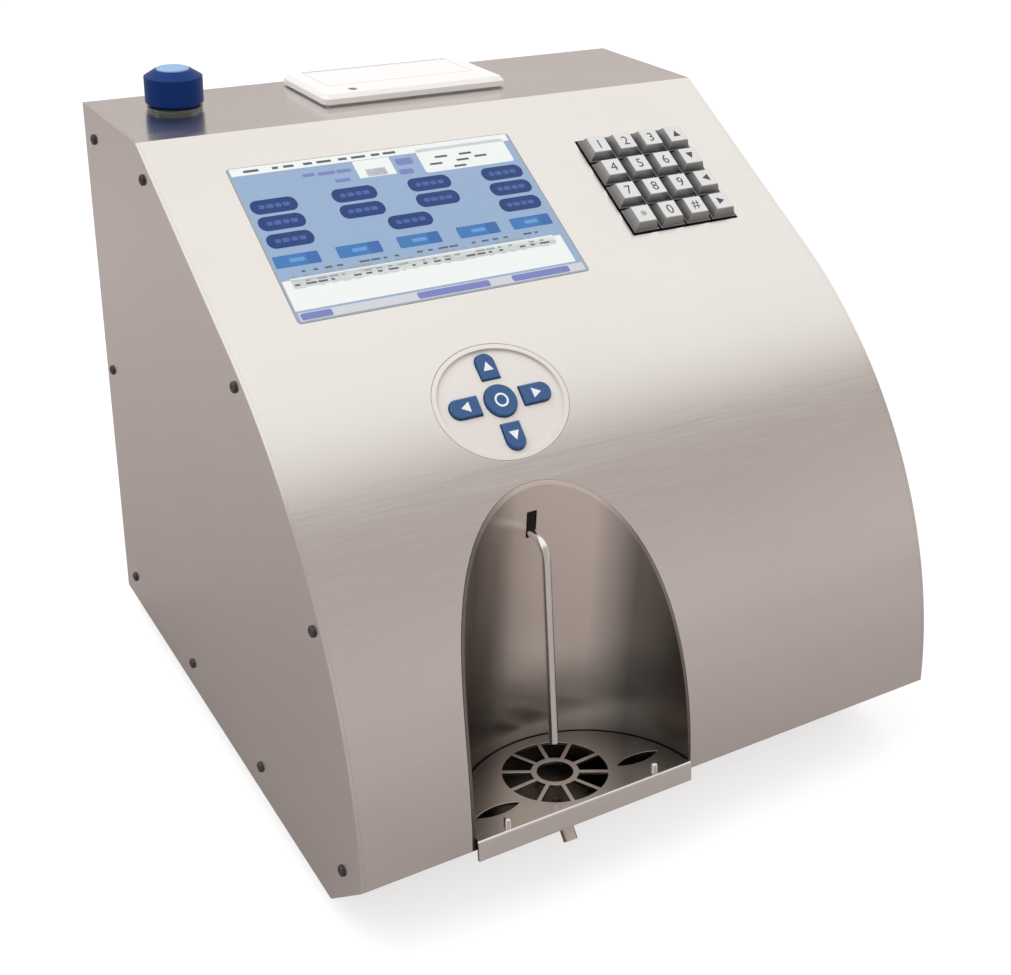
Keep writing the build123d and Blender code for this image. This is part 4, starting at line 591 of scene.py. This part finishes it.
def draw_buttons(picture):
    """Round buttons with a mark on each, and a row of bars"""
    for across, downs in PILL_COLUMNS:
        for down in downs:
            picture.patch(2, "pill", across, down, *PILL_SIZE)
            for out, wide in PILL_MARKS:
                picture.patch(3, "pill_light", across + out, down, wide, PILL_MARK_HEIGHT, ROUND)
    for across in BAR_MIDDLES:
        for layer, colour, out, *size in BAR_PATCHES:
            picture.patch(layer, colour, across + out, BAR_DOWN, *size)


def draw_table(picture):
    """Pale table with rows of marks, which stand for text"""
    picture.patches(TABLE)
    for down, first, colour in MARK_ROWS:
        for place in range(MARK_COUNT):
            wide = MARK_WIDTHS[(place * MARK_STRIDE + first) % len(MARK_WIDTHS)]
            if (place + first) % MARK_BREAK:
                across = MARK_START + MARK_PITCH * place + wide / 3
                picture.patch(2, colour, across, down, wide, MARK_HEIGHT)


def screen_picture():
    """A generic menu page just over the lens: header, round buttons, bars, a table and a status bar"""
    low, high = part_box("display_lens")
    picture = Picture(high.x - low.x, (high.y - low.y - LENS_THICKNESS * math.sin(SLANT)) / math.cos(SLANT))
    draw_header(picture)
    draw_buttons(picture)
    draw_table(picture)
    picture.patches(STATUS)
    item = from_bmesh("screen_picture", picture.shape, screen_ink())
    item.data.transform(face_place("display_lens", SLANT) @ Matrix.Translation((0, 0, FILM)))
    return ride(item, body_of("display_lens"))


# Legends on the keys, the oval pad and the switch

KEY_LEGENDS = (("1", "2", "3", "^"), ("4", "5", "6", "v"), ("7", "8", "9", "<"), ("*", "0", "#", ">"))
LEGEND_SIZE = 0.0074
KEY_ARROW = (0.0042, 0.0038)
BUTTON_ARROW = (0.0046, 0.0040)
BUTTON_RING = (0.0031, 0.0009)
BUTTON_TURNS = {"up": 0.0, "left": math.pi / 2, "down": math.pi, "right": -math.pi / 2}
ARROWS = {"^": 0.0, "<": math.pi / 2, "v": math.pi, ">": -math.pi / 2}


def arrow_mesh(width, height):
    """Flat triangle that points up"""
    shape = bmesh.new()
    points = ((-width / 2, -height / 2), (width / 2, -height / 2), (0, height / 2))
    shape.faces.new([shape.verts.new((x, y, 0)) for x, y in points])
    return to_mesh("arrow", shape)


def ring_mesh(radius, width, steps=40):
    """Flat ring"""
    shape = bmesh.new()
    outer, inner = [[shape.verts.new((x, y, 0)) for x, y in circle(reach, steps)]
                    for reach in (radius, radius - width)]
    band(shape, outer, inner)
    return to_mesh("ring", shape)


def mark_on(node, lean, name, mesh, ink, turn=0.0):
    """A flat mark just over a node's sloping face, turned in it"""
    item = new_object(name, mesh, FINISHES[ink])
    place = face_place(node, lean) @ Matrix.Translation((0, 0, FILM))
    item.data.transform(place @ Matrix.Rotation(turn, 4, "Z"))
    ride(item, body_of(node))


def key_legends():
    """A digit, star, hash or arrow on every key"""
    for row, legends in enumerate(KEY_LEGENDS):
        for column, legend in enumerate(legends):
            spot = f"{row + 1}_{column + 1}"
            mesh = arrow_mesh(*KEY_ARROW) if legend in ARROWS else text_mesh(legend, LEGEND_SIZE)
            mark_on("key_" + spot, SLANT, "legend_" + spot, mesh, "legend_ink",
                    ARROWS.get(legend, 0.0))


def button_marks():
    """White arrows on the four outer buttons and a ring on the middle one"""
    marks = [(name, arrow_mesh(*BUTTON_ARROW), turn) for name, turn in BUTTON_TURNS.items()]
    for name, mesh, turn in (*marks, ("centre", ring_mesh(*BUTTON_RING), 0.0)):
        mark_on("nav_button_" + name, PAD_LEAN, "mark_" + name, mesh, "mark_white", turn)


# Small parts: the cap's top disc with a painted highlight, the printer's lamp and the back's connectors

HIGHLIGHT_DISC_PROFILE = ((0.0074, -0.0002), (0.0074, 0.0003), (0.0070, 0.0006), (0.0045, 0.0009), (0, 0.0010))
LAMP_PROFILE = ((0.0021, 0.0), (0.0020, 0.0003), (0.0014, 0.0006), (0.0007, 0.0007), (0, 0.0007))
LAMP_PLACE = (0.0178, 0.0077)
LAMP_RECESS = 0.0006
ROCKER_MARKS = (("I", 0.0043, 0.0042), ("O", -0.0043, 0.0046))
PORT_HALF_WIDTH = 0.0154
PORT_FACE = ((-0.0075, 0.0034), (0.0075, 0.0034), (0.0064, -0.0034), (-0.0064, -0.0034))
PORT_FACE_RISE = 0.0003
PIN_RING = (0.00072, 0.00030, 16)
PIN_PITCH = 0.00277
PIN_ROWS = ((5, 0.00142), (4, -0.00142))
SOCKET_SIDE = 0.0125
SOCKET_BACK = 0.015
BLADES = ((-0.007, -0.003), (0.0, 0.001), (0.007, -0.003))
BLADE_HALF = (0.00104, 0.00204)
BLADE_LENGTH = 0.01205
BLADE_TAPER = 0.0009


def cap_insert():
    """Domed disc in the top of the cap, coloured pale as a painted highlight"""
    low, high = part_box("screw_cap")
    item = new_object("cap_insert", turned_mesh(HIGHLIGHT_DISC_PROFILE), FINISHES["insert_blue"])
    item.data.transform(Matrix.Translation(((low.x + high.x) / 2, (low.y + high.y) / 2, high.z)))
    ride(item, body_of("screw_cap"))


def printer_lamp():
    """Lens of the printer's lamp, in its recess"""
    low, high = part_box("printer_body")
    item = new_object("printer_lamp", turned_mesh(LAMP_PROFILE), FINISHES["lamp_grey"])
    x, y = LAMP_PLACE
    item.data.transform(Matrix.Translation((low.x + x, low.y + y, high.z - LAMP_RECESS)))
    ride(item, body_of("printer_body"))


def rocker_marks():
    """On and off marks on the rocker"""
    low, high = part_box("switch_rocker")
    middle = (low + high) / 2
    inlet_low, inlet_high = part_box("power_inlet")
    for text, up, size in ROCKER_MARKS:
        item = new_object("rocker_mark_" + text, text_mesh(text, size), FINISHES["mark_white"])
        start = (middle.x, high.y + SOCKET_BACK, (inlet_low.z + inlet_high.z) / 2 + up)
        place = struck_place("switch_rocker", start, (0, -1, 0), (0, 0, 1))
        item.data.transform(place @ Matrix.Translation((0, 0, FILM)))
        ride(item, body_of("switch_rocker"))


def port_insert(shape, pins, x, y, z):
    """Black face of one serial port, and its ring of pins, in two bmeshes"""
    back, face = [[shape.verts.new((x - px, y + rise, z + pz)) for px, pz in PORT_FACE]
                  for rise in (0, PORT_FACE_RISE)]
    shape.faces.new(face[::-1])
    band(shape, face, back)
    for count, up in PIN_ROWS:
        for pin in range(count):
            ring = ring_mesh(*PIN_RING)
            out = (pin - (count - 1) / 2) * PIN_PITCH
            place = Matrix.Translation((x + out, y + PORT_FACE_RISE + FILM, z + up))
            ring.transform(place @ Matrix.Rotation(-math.pi / 2, 4, "X"))
            pins.from_mesh(ring)


def port_inserts():
    """Black faces and pin rings of both serial ports"""
    low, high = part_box("data_ports")
    shape, pins = bmesh.new(), bmesh.new()
    for x in (low.x + PORT_HALF_WIDTH, high.x - PORT_HALF_WIDTH):
        port_insert(shape, pins, x, high.y, (low.z + high.z) / 2)
    ride(from_bmesh("port_faces", shape, FINISHES["black_plastic"]), body_of("data_ports"))
    ride(from_bmesh("port_pins", pins, FINISHES["nickel"]), body_of("data_ports"))


def inlet_blades():
    """Metal sleeves with tapered ends over the inlet's blades"""
    low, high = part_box("power_inlet")
    x, y, z = (low.x + high.x) / 2 - SOCKET_SIDE, high.y - SOCKET_BACK, (low.z + high.z) / 2
    shape = bmesh.new()
    for out, up in BLADES:
        rings = []
        for reach, inset in ((0, 0), (BLADE_LENGTH - BLADE_TAPER, 0), (BLADE_LENGTH, BLADE_TAPER / 2)):
            wide, tall = BLADE_HALF[0] - inset, BLADE_HALF[1] - inset
            rings.append([shape.verts.new((x + out + side * wide, y + reach, z + up + rise * tall))
                          for side, rise in ((-1, -1), (1, -1), (1, 1), (-1, 1))])
        for back, front in zip(rings, rings[1:]):
            band(shape, front, back)
        shape.faces.new(rings[-1][::-1])
    ride(from_bmesh("inlet_blades", shape, FINISHES["nickel"]), body_of("power_inlet"))


# Screw heads

SCREW_RINGS = ((0.00240, 0.0), (0.00240, 0.00055), (0.00224, 0.00092), (0.00190, 0.00118),
               (0.00145, 0.00130))
SOCKET_RADIUS = 0.00125
SOCKET_DEPTH = 0.0008
SCREW_STEPS = 24
# A corner counts as outermost within the first of the node's side, and as one screw's within the second
FACE_DEPTH = 0.0001
SCREW_REACH = 0.008


def screw_middles():
    """Middle of each side screw's outer face, grouped from the node's outermost corners"""
    low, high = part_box("housing_screws")
    groups = []
    for vertex in nodes["housing_screws"].data.vertices:
        if min(vertex.co.x - low.x, high.x - vertex.co.x) > FACE_DEPTH:
            continue
        near = [group for group in groups if (group[0] - vertex.co).length < SCREW_REACH]
        if near:
            near[0].append(vertex.co.copy())
        else:
            groups.append([vertex.co.copy()])
    return [sum(group, Vector()) / len(group) for group in groups]


def hexagon_point(step, radius):
    """Point on a hexagon's edge at one of the screw's steps"""
    turn = 2 * math.pi * step / SCREW_STEPS
    wedge = (turn % (math.pi / 3)) - math.pi / 6
    reach = radius * math.cos(math.pi / 6) / math.cos(wedge)
    return reach * math.cos(turn), reach * math.sin(turn)


def screw_head(shape, place):
    """Rounded head with a hexagon socket, added to a bmesh at a place with z pointing out"""
    top = SCREW_RINGS[-1][1]
    rings = [[(x, y, height) for x, y in circle(radius, SCREW_STEPS)] for radius, height in SCREW_RINGS]
    for height in (top, top - SOCKET_DEPTH):
        rings.append([(*hexagon_point(step, SOCKET_RADIUS), height) for step in range(SCREW_STEPS)])
    verts = [[shape.verts.new(place @ Vector(point)) for point in ring] for ring in rings]
    for low, high in zip(verts, verts[1:]):
        band(shape, low, high, True)
    shape.faces.new(verts[-1])
    shape.faces.new(verts[0][::-1])


def screw_heads():
    """All side screws in one piece"""
    shape = bmesh.new()
    depth = SCREW_RINGS[-1][1]
    for middle in screw_middles():
        side = 1 if middle.x > 0 else -1
        place = Matrix.Translation((middle.x - side * depth, middle.y, middle.z))
        screw_head(shape, place @ Matrix.Rotation(side * math.pi / 2, 4, "Y"))
    item = from_bmesh("screw_heads", shape, FINISHES["dark_screw"])
    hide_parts("housing_screws")
    return ride(item, body_of("housing_screws"))


# Studio

# Floor as the camera sees it, then its colours near and far from the object in the steel, darker near it as
# painted shade
FLOOR_CELLS = 8
FLOOR_GRAIN = 60.0
FLOOR_SEEN = ((0.39, 0.39, 0.39, 1), (0.41, 0.41, 0.41, 1))
FLOOR_GLOW = 0.70
FLOOR_REACH = (0.18, 0.80)
FLOOR_NEAR_SHADED = (0.36, 0.325, 0.32, 1)
FLOOR_FAR = (0.46, 0.42, 0.415, 1)


def switch_shader(tree, source, off, on, output):
    """Sends one of two shaders to an output by a value of 0 or 1"""
    mix = add_node(tree, "MixShader")
    tree.links.new(source, mix.inputs["Fac"])
    tree.links.new(off.outputs[0], mix.inputs[1])
    tree.links.new(on.outputs[0], mix.inputs[2])
    tree.links.new(mix.outputs[0], tree.nodes[output].inputs["Surface"])


def shaded_floor_colour(tree):
    """Colour of the floor that the steel mirrors, with painted shade near the object and paler away from it
    """
    place = add_node(tree, "TexCoord")
    away = add_node(tree, "VectorMath", operation="LENGTH")
    tree.links.new(place.outputs["Object"], away.inputs[0])
    return tint(tree, drawn_out(tree, away.outputs["Value"], FLOOR_REACH), FLOOR_NEAR_SHADED, FLOOR_FAR)


def studio_floor():
    """Floor that is pale and glows to the camera, with the object's shadow, and to all other rays plain but
    for painted shade near the object
    """
    shape = bmesh.new()
    bmesh.ops.create_grid(shape, x_segments=FLOOR_CELLS, y_segments=FLOOR_CELLS, size=FLOOR_SIZE / 2)
    material, tree, shader = new_shader("floor")
    tree.nodes.remove(shader)
    rays = add_node(tree, "LightPath")
    seen = add_node(tree, "BsdfDiffuse")
    tree.links.new(tint(tree, noise(tree, EVEN, FLOOR_GRAIN), *FLOOR_SEEN), seen.inputs["Color"])
    glow = add_node(tree, "Emission", {"Color": (1, 1, 1, 1), "Strength": FLOOR_GLOW})
    bright = add_node(tree, "AddShader")
    plain = add_node(tree, "BsdfDiffuse")
    tree.links.new(shaded_floor_colour(tree), plain.inputs["Color"])
    tree.links.new(seen.outputs[0], bright.inputs[0])
    tree.links.new(glow.outputs[0], bright.inputs[1])
    switch_shader(tree, rays.outputs["Is Camera Ray"], plain, bright, "Material Output")
    floor = from_bmesh("floor", shape, material)


# Room that the steel mirrors, set to match the photographed reflections: the ceiling's colours by a
# direction's run to the back over its rise, and the walls' colours from left to right
SKY_RUNS = (-1.0, 1.6)
SKY = ((-0.80, (0.50, 0.45, 0.43)), (-0.55, (0.85, 0.83, 0.82)), (-0.35, (1.03, 1.02, 1.01)),
       (0.3, (1.07, 1.06, 1.045)), (1.0, (0.87, 0.85, 0.85)), (1.5, (0.75, 0.72, 0.725)))
SKY_LEAST_RISE = 0.05
WALL_LEFT = (0.48, 0.43, 0.41, 1)
WALL_RIGHT = (0.62, 0.56, 0.54, 1)
WALL_SIDES = (-0.3, 0.9)
WALL_RISES = (0.15, 0.55)


def sky_colour(tree):
    """Colour of the room by direction: a soft ceiling from front to back over darker walls"""
    place = add_node(tree, "TexCoord")
    split = add_node(tree, "SeparateXYZ")
    tree.links.new(place.outputs["Generated"], split.inputs["Vector"])
    rise = add_node(tree, "Math", {1: SKY_LEAST_RISE}, operation="MAXIMUM")
    tree.links.new(split.outputs["Z"], rise.inputs[0])
    run = add_node(tree, "Math", operation="DIVIDE")
    tree.links.new(split.outputs["Y"], run.inputs[0])
    tree.links.new(rise.outputs[0], run.inputs[1])
    ceiling = ramp_colour(tree, run.outputs[0], *SKY_RUNS, SKY)
    high = drawn_out(tree, split.outputs["Z"], WALL_RISES, interpolation_type="SMOOTHSTEP")
    walls = tint(tree, drawn_out(tree, split.outputs["X"], WALL_SIDES), WALL_LEFT, WALL_RIGHT)
    mix = add_node(tree, "Mix", data_type="RGBA")
    for socket, source in (("Factor", high), ("A", walls), ("B", ceiling)):
        tree.links.new(source, mix.inputs[socket])
    return mix.outputs["Result"]


def studio_world():
    """White to the camera and through clear pieces, and the mirrored room to all other rays"""
    world = bpy.data.worlds.new("studio")
    world.use_nodes = True
    bpy.context.scene.world = world
    tree = world.node_tree
    soft = tree.nodes["Background"]
    tree.links.new(sky_colour(tree), soft.inputs["Color"])
    soft.inputs["Strength"].default_value = 1.0
    white = add_node(tree, "Background", {"Color": (1, 1, 1, 1), "Strength": 1.0})
    rays = add_node(tree, "LightPath")
    either = add_node(tree, "Math", operation="MAXIMUM")
    tree.links.new(rays.outputs["Is Camera Ray"], either.inputs[0])
    tree.links.new(rays.outputs["Is Transmission Ray"], either.inputs[1])
    switch_shader(tree, either.outputs[0], soft, white, "World Output")


def soft_lamp(name, place, size, power):
    """Square area lamp aimed at the middle of the object"""
    lamp = bpy.data.lights.new(name, "AREA")
    lamp.shape, lamp.size, lamp.energy = "SQUARE", size, power
    item = bpy.data.objects.new(name, lamp)
    bpy.context.scene.collection.objects.link(item)
    item.location = place
    item.rotation_euler = (LAMP_AIM - Vector(place)).to_track_quat("-Z", "Y").to_euler()
    item.visible_glossy = False


def studio_camera():
    """Camera at the photograph's place and angle"""
    azimuth, elevation = CAMERA_AZIMUTH, CAMERA_ELEVATION
    back = Vector((math.sin(azimuth) * math.cos(elevation), -math.cos(azimuth) * math.cos(elevation),
                   math.sin(elevation)))
    right = Vector((math.cos(azimuth), math.sin(azimuth), 0))
    up = back.cross(right)
    turn = Matrix((right, up, back)).transposed() @ Matrix.Rotation(CAMERA_ROLL, 3, "Z")
    camera = bpy.data.cameras.new("camera")
    camera.sensor_width, camera.lens = CAMERA_SENSOR, CAMERA_LENS
    camera.sensor_fit = "HORIZONTAL"
    camera.shift_x, camera.shift_y = CAMERA_SHIFT
    item = bpy.data.objects.new("camera", camera)
    bpy.context.scene.collection.objects.link(item)
    item.matrix_world = Matrix.Translation(CAMERA_PLACE) @ turn.to_4x4()
    bpy.context.scene.camera = item


screen_picture()
key_legends()
button_marks()
cap_insert()
printer_lamp()
rocker_marks()
port_inserts()
inlet_blades()
screw_heads()
studio_camera()
studio_floor()
studio_world()
soft_lamp("key_lamp", **KEY_LAMP)
soft_lamp("fill_lamp", **FILL_LAMP)
bpy.context.scene.view_settings.view_transform = "Standard"
